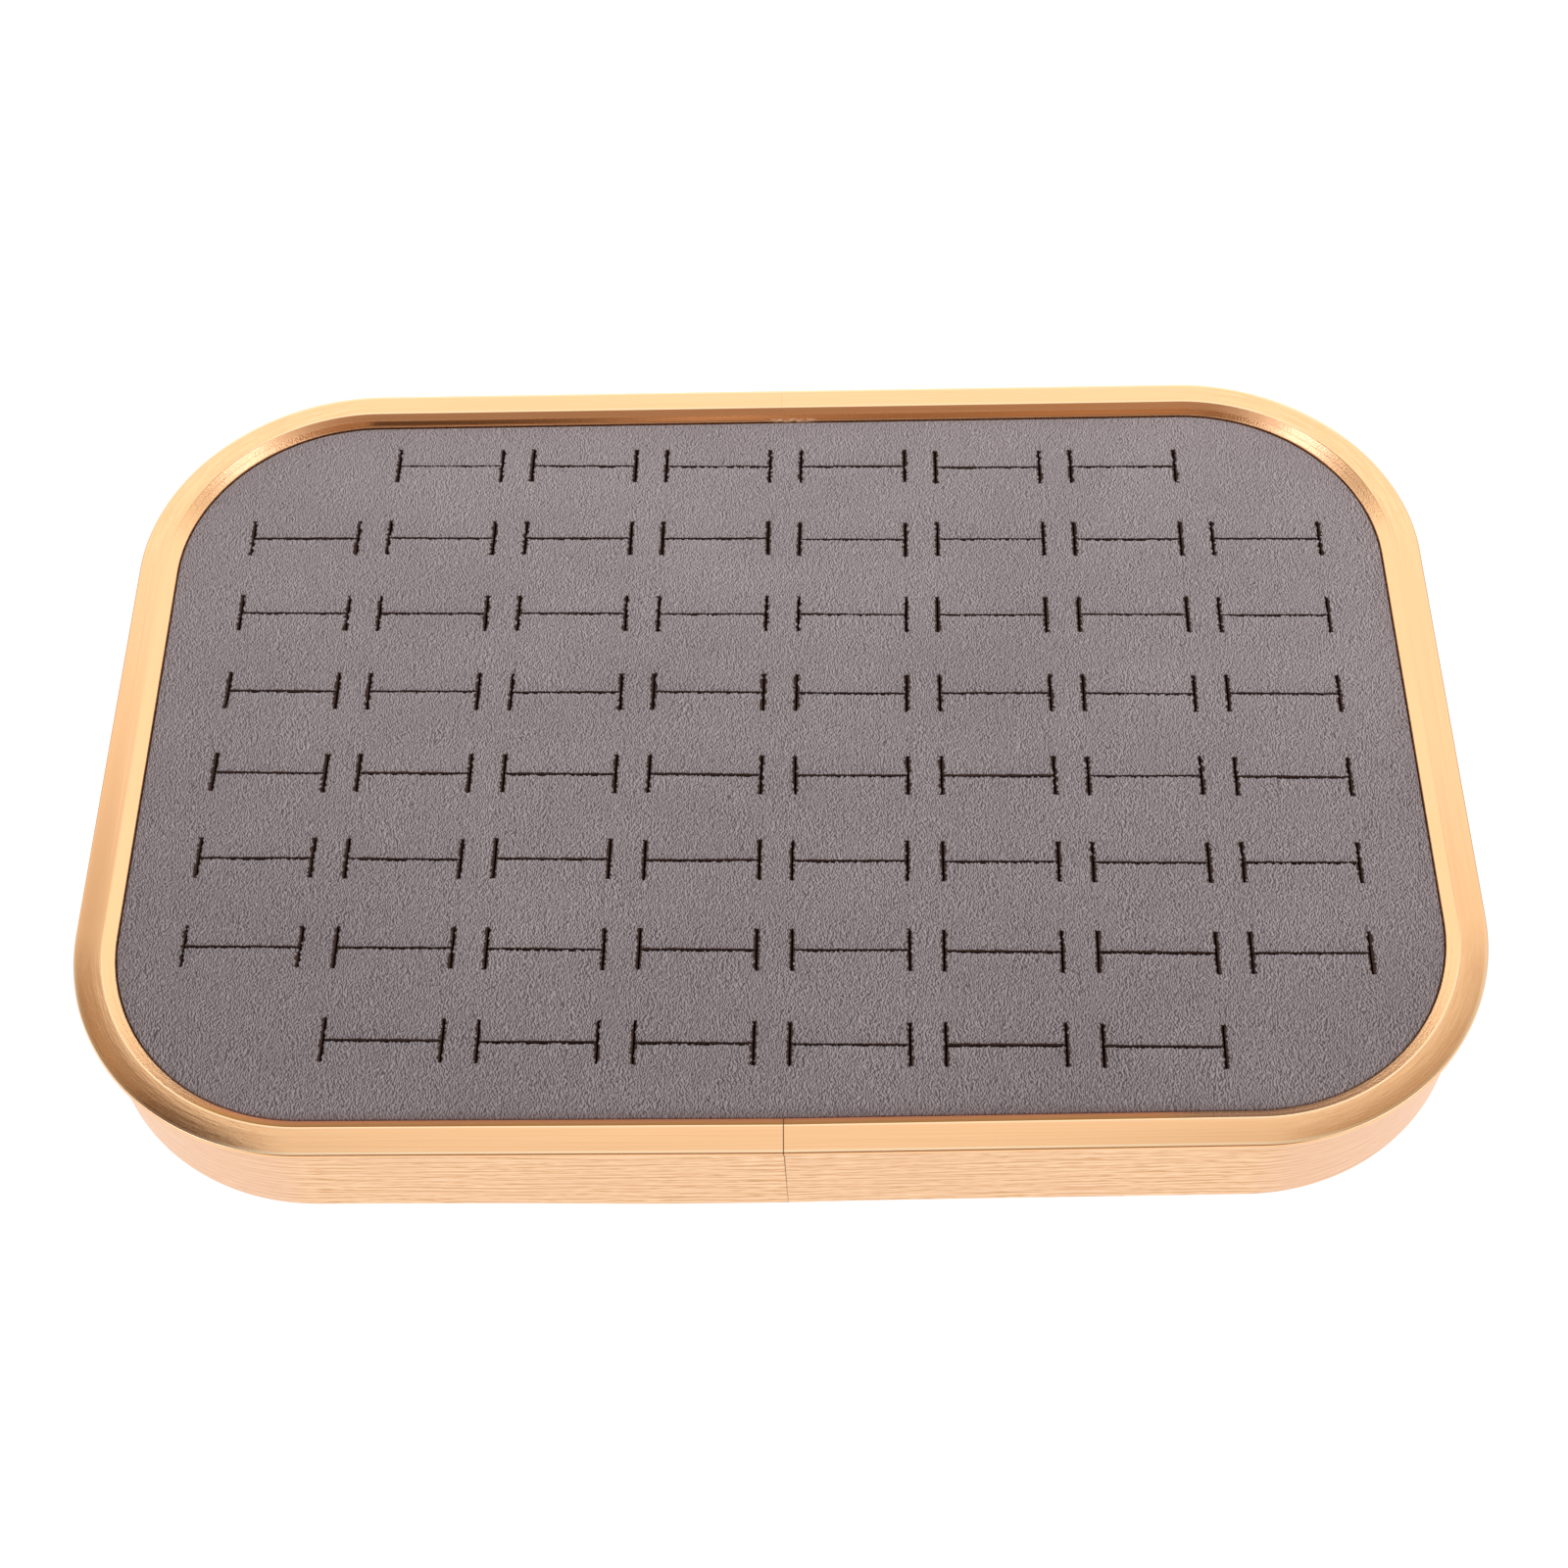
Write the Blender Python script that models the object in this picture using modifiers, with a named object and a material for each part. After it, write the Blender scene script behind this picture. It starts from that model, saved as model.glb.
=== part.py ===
"""Ring display tray: a two-piece bent aluminium frame around a lift-out velvet ring pad.

Lengths in the tables are millimetres; MM turns them into metres. +X runs along the
long side, +Y to the back, +Z up. The origin is at the bottom centre of the tray.
"""
from math import cos, pi, radians, sin

import bmesh
import bpy
from mathutils import Matrix, Vector

MM = 0.001

# ---- driving dimensions (mm) -------------------------------------------------
OPEN_HALF_X = 165.0        # half length of the opening that frames the pad
OPEN_HALF_Y = 109.05       # half depth of the opening
OPEN_R = 51.35             # corner radius of the opening
CORNER_SEGS = 12           # facets per rounded corner
FRAME_LIFT = 0.8           # the feet hold the frame this far off the table
FRAME_H = 33.0             # height of the extrusion
FASCIA_D = 7.82            # fascia, measured outward from the opening
CAP_D = 10.0               # outer edge of the cap, same measure
WALL = 1.1                 # wall of the extrusion
PAD_Z = 30.3               # pad surface, above the frame's bottom edge
FLANGE_IN = 12.0           # inner flange, measured inward from the opening
FLANGE_Z = 1.5             # underside of the flange
FLANGE_T = 1.2
JOINT_GAP = 0.3            # open line between the two frame halves
SEAM_X = 1.35              # the halves meet slightly right of the middle
GAP = 0.3                  # clearance between touching pieces
SIDE_GAP = 0.4             # clearance of board and pad to the frame

BAR_L, BAR_T = 70.0, 5.0   # splice bars
BAR_Z0, BAR_Z1 = 4.0, 28.0
SET_X = (12.0, 26.0)       # set screws, each side of the joint
SET_Z = 16.0
SET_R, SET_LEN = 1.5, 6.0

BOARD_T = 5.0              # fibreboard floor
FELT_T = 1.0
WOOD_SCREW_LEN = 6.4
FOOT_R, FOOT_T = 4.75, 2.0

HEM_T, HEM_W = 0.6, 11.0   # velvet turned under the pad
SKIN_T = 1.1               # velvet on top and down the sides
CARD_T = 2.0

COL_PITCH = 37.884         # ring slots
ROW_PITCH = 26.032
ROWS = (6, 8, 8, 8, 8, 8, 8, 6)
SLOT_L = 29.156            # centre to centre of the two end cuts
SLOT_W = 0.5
END_HALF = 5.977           # half length of an end cut
END_W = 0.8
GRID_X, GRID_Y = 0.378, 1.507   # the slot grid sits slightly off centre
GRID_SKEW = -1.1734        # and slightly turned, degrees

# ---- heights above the frame's bottom edge -----------------------------------
BOARD_Z = FLANGE_Z + FLANGE_T + GAP
BOARD_TOP = BOARD_Z + BOARD_T
PAD_BOTTOM = BOARD_TOP + GAP
CARD_Z = PAD_BOTTOM + HEM_T + GAP
FOAM_Z = CARD_Z + CARD_T + GAP
FOAM_TOP = PAD_Z - SKIN_T - GAP

# Cross-section of the extrusion: (outward from the opening, above the bottom edge).
PROFILE = [
    (0.35, 0.0), (7.52, 0.0), (FASCIA_D, 0.3), (FASCIA_D, 31.25),
    (9.7, 31.25), (9.93, 31.4), (CAP_D, 31.65), (9.95, 32.05), (9.7, 32.35),
    (8.6, 32.58), (7.0, 32.79), (5.4, 32.93), (4.2, 32.99), (3.3, FRAME_H), (2.8, 32.9),
    (0.18, 30.68), (0.0, 30.35), (0.0, FLANGE_Z + FLANGE_T),
    (-FLANGE_IN, FLANGE_Z + FLANGE_T), (-FLANGE_IN, FLANGE_Z), (0.0, FLANGE_Z), (0.0, 0.35),
]
CHAMBER = [(WALL, 1.2), (FASCIA_D - WALL, 1.2), (FASCIA_D - WALL, 31.5), (3.5, 31.5), (WALL, 29.5)]

# ---- scene -------------------------------------------------------------------
for ob in list(bpy.data.objects):
    bpy.data.objects.remove(ob, do_unlink=True)

PARTS = bpy.data.collections.new("ring_display_tray")
CUTTERS = bpy.data.collections.new("cutters")
bpy.context.scene.collection.children.link(PARTS)
bpy.context.scene.collection.children.link(CUTTERS)


def material(name, color, roughness, metallic=0.0):
    mat = bpy.data.materials.new(name)
    mat.use_nodes = True
    mat.diffuse_color = (*color, 1.0)
    bsdf = mat.node_tree.nodes["Principled BSDF"]
    bsdf.inputs["Base Color"].default_value = (*color, 1.0)
    bsdf.inputs["Roughness"].default_value = roughness
    bsdf.inputs["Metallic"].default_value = metallic
    return mat


def empty(name, location=(0.0, 0.0, 0.0)):
    ob = bpy.data.objects.new(name, None)
    ob.location = location
    PARTS.objects.link(ob)
    return ob


def add_object(name, mesh, mat=None, parent=None, cutter=False, place=None):
    ob = bpy.data.objects.new(name, mesh)
    (CUTTERS if cutter else PARTS).objects.link(ob)
    if cutter:
        ob.hide_render = True
        ob.display_type = "WIRE"
    if mat is not None:
        mesh.materials.clear()
        mesh.materials.append(mat)
    if parent is not None:
        ob.parent = parent
        ob.matrix_parent_inverse = parent.matrix_world.inverted()
    if place is not None:
        ob.matrix_basis = place
    return ob


def curve_mesh(curve_ob):
    """Evaluated curve as one welded closed mesh, with the curve's transform baked in."""
    bpy.context.view_layer.update()
    deps = bpy.context.evaluated_depsgraph_get()
    mesh = bpy.data.meshes.new_from_object(curve_ob.evaluated_get(deps))
    mesh.transform(curve_ob.matrix_world)
    bm = bmesh.new()
    bm.from_mesh(mesh)
    bmesh.ops.remove_doubles(bm, verts=bm.verts, dist=1e-6)
    bmesh.ops.recalc_face_normals(bm, faces=bm.faces)
    bm.to_mesh(mesh)
    bm.free()
    data = curve_ob.data
    bpy.data.objects.remove(curve_ob, do_unlink=True)
    bpy.data.curves.remove(data)
    return mesh


def poly_curve(name, loops, dimensions="2D", cyclic=True):
    """Curve object with one POLY spline for each list of (x, y) points in mm."""
    data = bpy.data.curves.new(name, "CURVE")
    data.dimensions = dimensions
    for loop in loops:
        spline = data.splines.new("POLY")
        spline.points.add(len(loop) - 1)
        for point, (x, y) in zip(spline.points, loop):
            point.co = (x * MM, y * MM, 0.0, 1.0)
        spline.use_cyclic_u = cyclic
    ob = bpy.data.objects.new(name, data)
    bpy.context.scene.collection.objects.link(ob)
    return ob


def plate(name, loops, z0, z1):
    """Flat outline with its inner loops as holes, from z0 to z1 (mm above the frame's bottom)."""
    ob = poly_curve(name, loops)
    ob.data.fill_mode = "BOTH"
    ob.data.extrude = (z1 - z0) * MM / 2
    ob.location.z = (FRAME_LIFT + (z0 + z1) / 2) * MM
    return curve_mesh(ob)


def outline(d, segs=CORNER_SEGS):
    """Rounded rectangle at distance d outside the opening, anticlockwise."""
    a, b, r = OPEN_HALF_X + d, OPEN_HALF_Y + d, OPEN_R + d
    pts = []
    for cx, cy, start in ((a - r, b - r, 0), (r - a, b - r, 90), (r - a, r - b, 180), (a - r, r - b, 270)):
        for i in range(segs + 1):
            t = radians(start + 90.0 * i / segs)
            pts.append((cx + r * cos(t), cy + r * sin(t)))
    return pts


def half_path(side, gap):
    """Path of one frame half along the opening, anticlockwise; its ends are at x = SEAM_X + side * gap."""
    a, b, r, lead = OPEN_HALF_X, OPEN_HALF_Y, OPEN_R, 0.4
    start = side * SEAM_X + gap
    pts = [(start, -b), (a - r - lead, -b)]
    for i in range(CORNER_SEGS + 1):
        t = radians(-90.0 + 90.0 * i / CORNER_SEGS)
        pts.append((a - r + r * cos(t), r - b + r * sin(t)))
    pts += [(a, r - b + lead), (a, b - r - lead)]
    for i in range(CORNER_SEGS + 1):
        t = radians(90.0 * i / CORNER_SEGS)
        pts.append((a - r + r * cos(t), b - r + r * sin(t)))
    pts += [(a - r - lead, b), (start, b)]
    if side < 0:
        pts = [(-x, -y) for x, y in pts]
    return pts


def swept(name, section, path):
    """The cross-section carried along the path as a curve bevel, with filled ends."""
    profile = poly_curve(name + "_section", [section])
    profile.data.fill_mode = "NONE"
    rail = poly_curve(name + "_rail", [path], dimensions="3D", cyclic=False)
    rail.data.twist_mode = "Z_UP"
    rail.data.fill_mode = "FULL"
    rail.data.bevel_mode = "OBJECT"
    rail.data.bevel_object = profile
    rail.data.use_fill_caps = True
    rail.location.z = FRAME_LIFT * MM
    mesh = curve_mesh(rail)
    data = profile.data
    bpy.data.objects.remove(profile, do_unlink=True)
    bpy.data.curves.remove(data)
    return mesh


def turned(profile, segs):
    """Mesh of a turned shape: (radius, z) points in mm, from the top of the axis down the outside."""
    mesh = bpy.data.meshes.new("turned_profile")
    mesh.from_pydata([(r * MM, 0.0, z * MM) for r, z in profile],
                     [(i, i + 1) for i in range(len(profile) - 1)], [])
    ob = bpy.data.objects.new("turned_profile", mesh)
    bpy.context.scene.collection.objects.link(ob)
    mod = ob.modifiers.new("screw", "SCREW")
    mod.steps = mod.render_steps = segs
    mod.use_merge_vertices = True
    mod.merge_threshold = 0.00001
    mod.use_smooth_shade = False
    bpy.context.view_layer.update()
    deps = bpy.context.evaluated_depsgraph_get()
    out = bpy.data.meshes.new_from_object(ob.evaluated_get(deps))
    bpy.data.objects.remove(ob, do_unlink=True)
    bm = bmesh.new()
    bm.from_mesh(out)
    bmesh.ops.remove_doubles(bm, verts=bm.verts, dist=1e-6)
    bmesh.ops.recalc_face_normals(bm, faces=bm.faces)
    bm.to_mesh(out)
    bm.free()
    return out


def cylinder(radius, length, segs):
    """Cylinder (or prism) along +Z from z = 0."""
    mesh = bpy.data.meshes.new("cylinder")
    bm = bmesh.new()
    bmesh.ops.create_cone(bm, cap_ends=True, cap_tris=False, segments=segs,
                          radius1=radius * MM, radius2=radius * MM, depth=length * MM)
    bmesh.ops.translate(bm, vec=(0, 0, length * MM / 2), verts=bm.verts)
    bm.to_mesh(mesh)
    bm.free()
    return mesh


def copies(name, mesh, matrices):
    """One mesh holding a separate copy of the given mesh for each matrix."""
    out = bpy.data.meshes.new(name)
    bm = bmesh.new()
    for matrix in matrices:
        copy = mesh.copy()
        copy.transform(matrix)
        bm.from_mesh(copy)
        bpy.data.meshes.remove(copy)
    bm.to_mesh(out)
    bm.free()
    return out


def cut(ob, cutter):
    mod = ob.modifiers.new(cutter.name, "BOOLEAN")
    mod.operation = "DIFFERENCE"
    mod.solver = "EXACT"
    mod.object = cutter


def carved(mesh, cutter_mesh):
    """The mesh with the cutter taken away, for a shape that several copies share."""
    body = add_object("carving", mesh, cutter=True)
    tool = add_object("carver", cutter_mesh, cutter=True)
    cut(body, tool)
    bpy.context.view_layer.update()
    out = bpy.data.meshes.new_from_object(body.evaluated_get(bpy.context.evaluated_depsgraph_get()))
    for ob in (body, tool):
        bpy.data.objects.remove(ob, do_unlink=True)
    return out


def at(x, y, z, rot=None):
    m = Matrix.Translation(Vector((x, y, z + FRAME_LIFT)) * MM)
    return m if rot is None else m @ rot


def smooth(mesh, angle=35.0):
    mesh.shade_smooth()
    mesh.set_sharp_from_angle(angle=radians(angle))


# ---- finishes ----------------------------------------------------------------
GOLD = material("anodised_gold", (0.83, 0.50, 0.26), 0.32, 1.0)
MILL = material("mill_aluminium", (0.72, 0.73, 0.75), 0.38, 1.0)
STEEL = material("zinc_plated_steel", (0.55, 0.56, 0.58), 0.3, 1.0)
BLACK_STEEL = material("black_oxide_steel", (0.035, 0.035, 0.038), 0.42, 1.0)
BOARD = material("fibreboard", (0.36, 0.24, 0.14), 0.85)
CARD = material("grey_card", (0.30, 0.29, 0.27), 0.9)
FELT = material("charcoal_felt", (0.045, 0.045, 0.05), 0.95)
RUBBER = material("grey_rubber", (0.28, 0.28, 0.29), 0.45)
FOAM = material("dark_foam", (0.05, 0.04, 0.032), 0.9)
VELVET = material("taupe_velvet", (0.27, 0.235, 0.24), 0.9)

tray = empty("tray")
insert = empty("ring_insert", (0.0, 0.0, (FRAME_LIFT + PAD_BOTTOM) * MM))
bpy.context.view_layer.update()

# ---- frame halves ------------------------------------------------------------
flange_spots = [(x, s * (OPEN_HALF_Y - FLANGE_IN / 2)) for s in (-1, 1) for x in (-98.0, -34.0, 34.0, 98.0)]
flange_spots += [(s * (OPEN_HALF_X - FLANGE_IN / 2), 0.0) for s in (-1, 1)]

shank_hole = cylinder(1.55, FLANGE_T + 2.0, 12)
sink = turned([(0.0, 1.1), (1.55, 1.1), (3.0, 0.0), (3.0, -1.0), (0.0, -1.0)], 12)
pilot_hole = cylinder(1.55, 5.2, 12)
set_hole = cylinder(SET_R + GAP, 3.4, 12)

for side, name in ((-1, "frame_half_left"), (1, "frame_half_right")):
    body = add_object(name, swept(name, PROFILE, half_path(side, JOINT_GAP / 2)), GOLD, tray)
    chamber = add_object(name + "_chamber", swept(name + "_chamber", CHAMBER, half_path(side, -1.5)), cutter=True)
    cut(body, chamber)
    access = []
    for front in (-1, 1):
        turn = Matrix.Rotation(radians(90.0 * -front), 4, "X")
        for x in SET_X:
            access.append(at(SEAM_X + side * x, front * (OPEN_HALF_Y - 1.2), SET_Z, turn))
    cut(body, add_object(name + "_set_screw_access", copies("access", set_hole, access), cutter=True))
    mine = [(x, y) for x, y in flange_spots if x * side > 0]
    cut(body, add_object(name + "_flange_holes",
                         copies("shank", shank_hole, [at(x, y, FLANGE_Z - 1.0) for x, y in mine]), cutter=True))
    cut(body, add_object(name + "_countersinks",
                         copies("sink", sink, [at(x, y, FLANGE_Z) for x, y in mine]), cutter=True))

# ---- splice bars and their set screws ----------------------------------------
hex_socket = cylinder(0.87, 2.5, 6)
hex_socket.transform(Matrix.Rotation(radians(8.0), 4, "Z") @ Matrix.Translation((0, 0, -1.0 * MM)))
set_screw = carved(turned([(0.0, SET_LEN), (1.0, SET_LEN), (SET_R, SET_LEN - 0.5),
                           (SET_R, 0.2), (SET_R - 0.2, 0.0), (0.0, 0.0)], 12), hex_socket)
bar_height = BAR_Z1 - BAR_Z0
bar_mid = (WALL + GAP + FASCIA_D - WALL - GAP) / 2
for front, name in ((-1, "front"), (1, "back")):
    rect = [(-BAR_L / 2, -bar_height / 2), (BAR_L / 2, -bar_height / 2),
            (BAR_L / 2, bar_height / 2), (-BAR_L / 2, bar_height / 2)]
    loops = [rect]
    for x in (-SET_X[1], -SET_X[0], SET_X[0], SET_X[1]):
        loops.append([(x + (SET_R + GAP) * cos(2 * pi * i / 12), (SET_R + GAP) * sin(2 * pi * i / 12))
                      for i in range(12)])
    flat = poly_curve("splice_outline", loops)
    flat.data.fill_mode = "BOTH"
    flat.data.extrude = BAR_T * MM / 2
    flat.rotation_euler = (radians(90.0), 0.0, 0.0)
    flat.location = (SEAM_X * MM, front * (OPEN_HALF_Y + bar_mid) * MM,
                     (FRAME_LIFT + (BAR_Z0 + BAR_Z1) / 2) * MM)
    add_object("splice_bar_" + name, curve_mesh(flat), MILL, tray)

    turn = Matrix.Rotation(radians(90.0 * -front), 4, "X")
    for number, x in enumerate((-SET_X[1], -SET_X[0], SET_X[0], SET_X[1]), 1):
        add_object("splice_screw_%s_%d" % (name, number), set_screw, BLACK_STEEL, tray,
                   place=at(SEAM_X + x, front * (OPEN_HALF_Y + 0.4), SET_Z, turn))

# ---- floor of the tray ---------------------------------------------------------
board = add_object("base_board", plate("base_board", [outline(-SIDE_GAP)], BOARD_Z, BOARD_TOP), BOARD, tray)
cut(board, add_object("pilot_holes", copies("pilot", pilot_hole,
                                            [at(x, y, BOARD_Z - 1.0) for x, y in flange_spots]), cutter=True))

wood_screw = turned([(0.0, WOOD_SCREW_LEN - 1.5), (0.9, WOOD_SCREW_LEN - 1.9), (1.25, WOOD_SCREW_LEN - 3.0),
                     (1.25, 1.0), (2.5, 0.1), (2.5, 0.0), (0.0, 0.0)], 12)
cross = [(0.35, 1.5), (0.35, 0.35), (1.5, 0.35), (1.5, -0.35), (0.35, -0.35), (0.35, -1.5),
         (-0.35, -1.5), (-0.35, -0.35), (-1.5, -0.35), (-1.5, 0.35), (-0.35, 0.35), (-0.35, 1.5)]
recess = plate("recess", [cross], -FRAME_LIFT - 1.0, -FRAME_LIFT + 0.7)
recess.transform(Matrix.Rotation(radians(13.0), 4, "Z"))
wood_screw = carved(wood_screw, recess)
for number, (x, y) in enumerate(flange_spots, 1):
    add_object("base_screw_%02d" % number, wood_screw, STEEL, tray, place=at(x, y, FLANGE_Z + 0.1))

add_object("underside_felt", plate("underside_felt", [outline(-FLANGE_IN - 0.6)],
                                   BOARD_Z - GAP - FELT_T, BOARD_Z - GAP), FELT, tray)

foot = turned([(0.0, FOOT_T), (FOOT_R - 0.15, FOOT_T), (FOOT_R, FOOT_T - 0.15), (FOOT_R - 0.25, 0.7),
               (FOOT_R - 0.6, 0.25), (FOOT_R - 1.1, 0.0), (0.0, 0.0)], 16)
corner = (OPEN_R - FLANGE_IN / 2) * cos(radians(45.0))
foot_x, foot_y = OPEN_HALF_X - OPEN_R + corner, OPEN_HALF_Y - OPEN_R + corner
for fx, fy, name in ((-1, -1, "foot_front_left"), (1, -1, "foot_front_right"),
                     (-1, 1, "foot_back_left"), (1, 1, "foot_back_right")):
    add_object(name, foot, RUBBER, tray, place=Matrix.Translation(Vector((fx * foot_x, fy * foot_y, 0.0)) * MM))

# ---- lift-out ring pad ---------------------------------------------------------
def slit(x, y, w=SLOT_W, e=END_W):
    """H-shaped cut centred at x, y of the slot grid, placed on the pad."""
    h, s = END_HALF, SLOT_L / 2
    shape = [(-s - e / 2, -h), (-s + e / 2, -h), (-s + e / 2, -w / 2), (s - e / 2, -w / 2), (s - e / 2, -h),
             (s + e / 2, -h), (s + e / 2, h), (s - e / 2, h), (s - e / 2, w / 2), (-s + e / 2, w / 2),
             (-s + e / 2, h), (-s - e / 2, h)]
    c, k = cos(radians(GRID_SKEW)), sin(radians(GRID_SKEW))
    return [(GRID_X + c * (x + px) - k * (y + py), GRID_Y + k * (x + px) + c * (y + py)) for px, py in shape]


slits = []
for row, count in enumerate(ROWS):
    y = ((len(ROWS) - 1) / 2 - row) * ROW_PITCH
    for column in range(count):
        slits.append(slit((column - (count - 1) / 2) * COL_PITCH, y))

core_d = -SIDE_GAP - SKIN_T - GAP
add_object("insert_board", plate("insert_board", [outline(core_d)], CARD_Z, CARD_Z + CARD_T), CARD, insert)
foam = add_object("ring_foam", plate("ring_foam", [outline(core_d)], FOAM_Z, FOAM_TOP), FOAM, insert)
cut(foam, add_object("foam_slits", plate("foam_slits", slits, FOAM_Z - 1.0, FOAM_TOP + 1.0), cutter=True))

velvet = add_object("velvet_cover", plate("velvet_cover", [outline(-SIDE_GAP)], PAD_BOTTOM, PAD_Z), VELVET, insert)
cut(velvet, add_object("velvet_inside", plate("velvet_inside", [outline(-SIDE_GAP - SKIN_T)],
                                              PAD_BOTTOM + HEM_T, PAD_Z - SKIN_T), cutter=True))
cut(velvet, add_object("velvet_window", plate("velvet_window", [outline(-SIDE_GAP - HEM_W)],
                                              PAD_BOTTOM - 1.0, PAD_BOTTOM + HEM_T + 1.0), cutter=True))
cut(velvet, add_object("velvet_slits", plate("velvet_slits", slits, PAD_Z - SKIN_T - 1.0, PAD_Z + 1.0), cutter=True))

for ob in PARTS.objects:
    if ob.type == "MESH":
        smooth(ob.data)
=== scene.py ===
"""Ring display tray: the looks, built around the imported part.

Lengths in the tables are millimetres and heights there are above the frame's bottom
edge, as in the part's own source; M turns them into metres. Every piece is made of
mesh code, and every finish is procedural.
"""
from math import ceil, cos, exp, hypot, pi, radians, sin

import bmesh
import bpy
import numpy as np
from mathutils import Matrix, Vector
from mathutils import noise as perlin
from mathutils.geometry import delaunay_2d_cdt, tessellate_polygon


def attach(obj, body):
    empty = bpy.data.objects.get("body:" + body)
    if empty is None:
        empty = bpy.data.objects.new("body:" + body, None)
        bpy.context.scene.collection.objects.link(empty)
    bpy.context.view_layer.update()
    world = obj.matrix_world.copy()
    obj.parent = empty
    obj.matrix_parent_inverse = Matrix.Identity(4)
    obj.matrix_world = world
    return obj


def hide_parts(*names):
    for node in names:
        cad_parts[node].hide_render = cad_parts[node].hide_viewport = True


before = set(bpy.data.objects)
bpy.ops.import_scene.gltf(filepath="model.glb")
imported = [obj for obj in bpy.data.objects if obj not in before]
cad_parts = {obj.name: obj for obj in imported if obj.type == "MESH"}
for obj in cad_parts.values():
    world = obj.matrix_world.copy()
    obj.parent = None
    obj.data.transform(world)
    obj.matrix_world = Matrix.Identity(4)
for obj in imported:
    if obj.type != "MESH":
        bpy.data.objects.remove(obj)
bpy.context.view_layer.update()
scene = bpy.context.scene

# ---- the part's dimensions (mm) ----------------------------------------------
M = 0.001
OPEN_HALF_X, OPEN_HALF_Y, OPEN_R = 165.0, 109.05, 51.35
FRAME_LIFT = 0.8
PAD_Z = 30.3
FLANGE_IN, FLANGE_Z, FLANGE_T = 12.0, 1.5, 1.2
SEAM_X, JOINT_GAP = 1.35, 0.3
SIDE_GAP, SKIN_T, HEM_T, HEM_W = 0.4, 1.1, 0.6, 11.0
BOARD_Z, BOARD_TOP = 3.0, 8.0
PAD_BOTTOM = 8.3
CARD_Z, CARD_T = 9.2, 2.0
FOAM_Z, FOAM_TOP = 11.5, 28.9
COL_PITCH, ROW_PITCH = 37.884, 26.032
ROWS = (6, 8, 8, 8, 8, 8, 8, 6)
SLOT_L, SLOT_W, END_HALF, END_W = 29.156, 0.5, 5.977, 0.8
GRID_X, GRID_Y, GRID_SKEW = 0.378, 1.507, radians(-1.1734)
SET_X, SET_Z, SET_R, SET_LEN = (-26.0, -12.0, 12.0, 26.0), 16.0, 1.5, 6.0
FLANGE_SPOTS = [(x, s * (OPEN_HALF_Y - FLANGE_IN / 2)) for s in (-1, 1) for x in (-98.0, -34.0, 34.0, 98.0)]
FLANGE_SPOTS += [(s * (OPEN_HALF_X - FLANGE_IN / 2), 0.0) for s in (-1, 1)]
WOOD_SCREW_LEN = 6.4
FOOT_R, FOOT_T = 4.75, 2.0
TOE_OUT = 0.7              # the front legs lean out this much where they meet

# ---- camera ------------------------------------------------------------------
camera = bpy.data.objects.new("camera", bpy.data.cameras.new("camera"))
scene.collection.objects.link(camera)
camera.data.lens = 57.862
camera.data.sensor_width = 36.0
camera.data.clip_start, camera.data.clip_end = 0.01, 50.0
right = Vector((0.9997767, -0.0020635, -0.0210316))
up = Vector((0.0132704, 0.8358312, 0.5488261))
back = Vector((0.0164463, -0.5489827, 0.8356719))
camera.matrix_world = Matrix.Translation((0.01234988, -0.37200678, 0.57507993)) @ Matrix(
    (right, up, back)).transposed().to_4x4()
scene.camera = camera
scene.view_settings.view_transform = "Standard"


# ==== node helpers ==============================================================
def node(tree, kind, inputs=None, **props):
    made = tree.nodes.new("ShaderNode" + kind)
    for key, value in props.items():
        setattr(made, key, value)
    for key, value in (inputs or {}).items():
        socket = made.inputs[key]
        if isinstance(value, bpy.types.NodeSocket):
            tree.links.new(value, socket)
        elif isinstance(value, bpy.types.Node):
            tree.links.new(value.outputs[0], socket)
        else:
            socket.default_value = value
    return made


def calc(tree, operation, a, b=0.0, c=0.0, clamp=False):
    return node(tree, "Math", {0: a, 1: b, 2: c}, operation=operation, use_clamp=clamp).outputs[0]


def vec(tree, operation, a, b=(0.0, 0.0, 0.0), scale=1.0):
    made = node(tree, "VectorMath", {0: a, 1: b}, operation=operation)
    if operation == "SCALE":
        made.inputs["Scale"].default_value = scale
    return made.outputs["Value"] if operation in ("DOT_PRODUCT", "LENGTH") else made.outputs[0]


def combine(tree, x=0.0, y=0.0, z=0.0):
    return node(tree, "CombineXYZ", {0: x, 1: y, 2: z}).outputs[0]


def blend(tree, factor, a, b, mode="MIX"):
    made = node(tree, "Mix", data_type="RGBA", blend_type=mode)
    for socket, value in ((made.inputs[0], factor), (made.inputs[6], a), (made.inputs[7], b)):
        if isinstance(value, bpy.types.NodeSocket):
            tree.links.new(value, socket)
        elif hasattr(value, "__len__"):
            socket.default_value = (*value[:3], 1.0)
        else:
            socket.default_value = value
    return made.outputs[2]


def span(tree, value, low, high, to_low=0.0, to_high=1.0, smooth=True):
    return node(tree, "MapRange", {"Value": value, "From Min": low, "From Max": high,
                                   "To Min": to_low, "To Max": to_high},
                interpolation_type="SMOOTHSTEP" if smooth else "LINEAR").outputs[0]


def grain(tree, vector, scale=1.0, detail=2.0, rough=0.5, distortion=0.0):
    return node(tree, "TexNoise", {"Vector": vector, "Scale": scale, "Detail": detail,
                                   "Roughness": rough, "Distortion": distortion}).outputs[0]


def cells(tree, vector, scale, feature="F1", randomness=1.0):
    return node(tree, "TexVoronoi", {"Vector": vector, "Scale": scale, "Randomness": randomness},
                feature=feature).outputs["Distance"]


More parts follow.
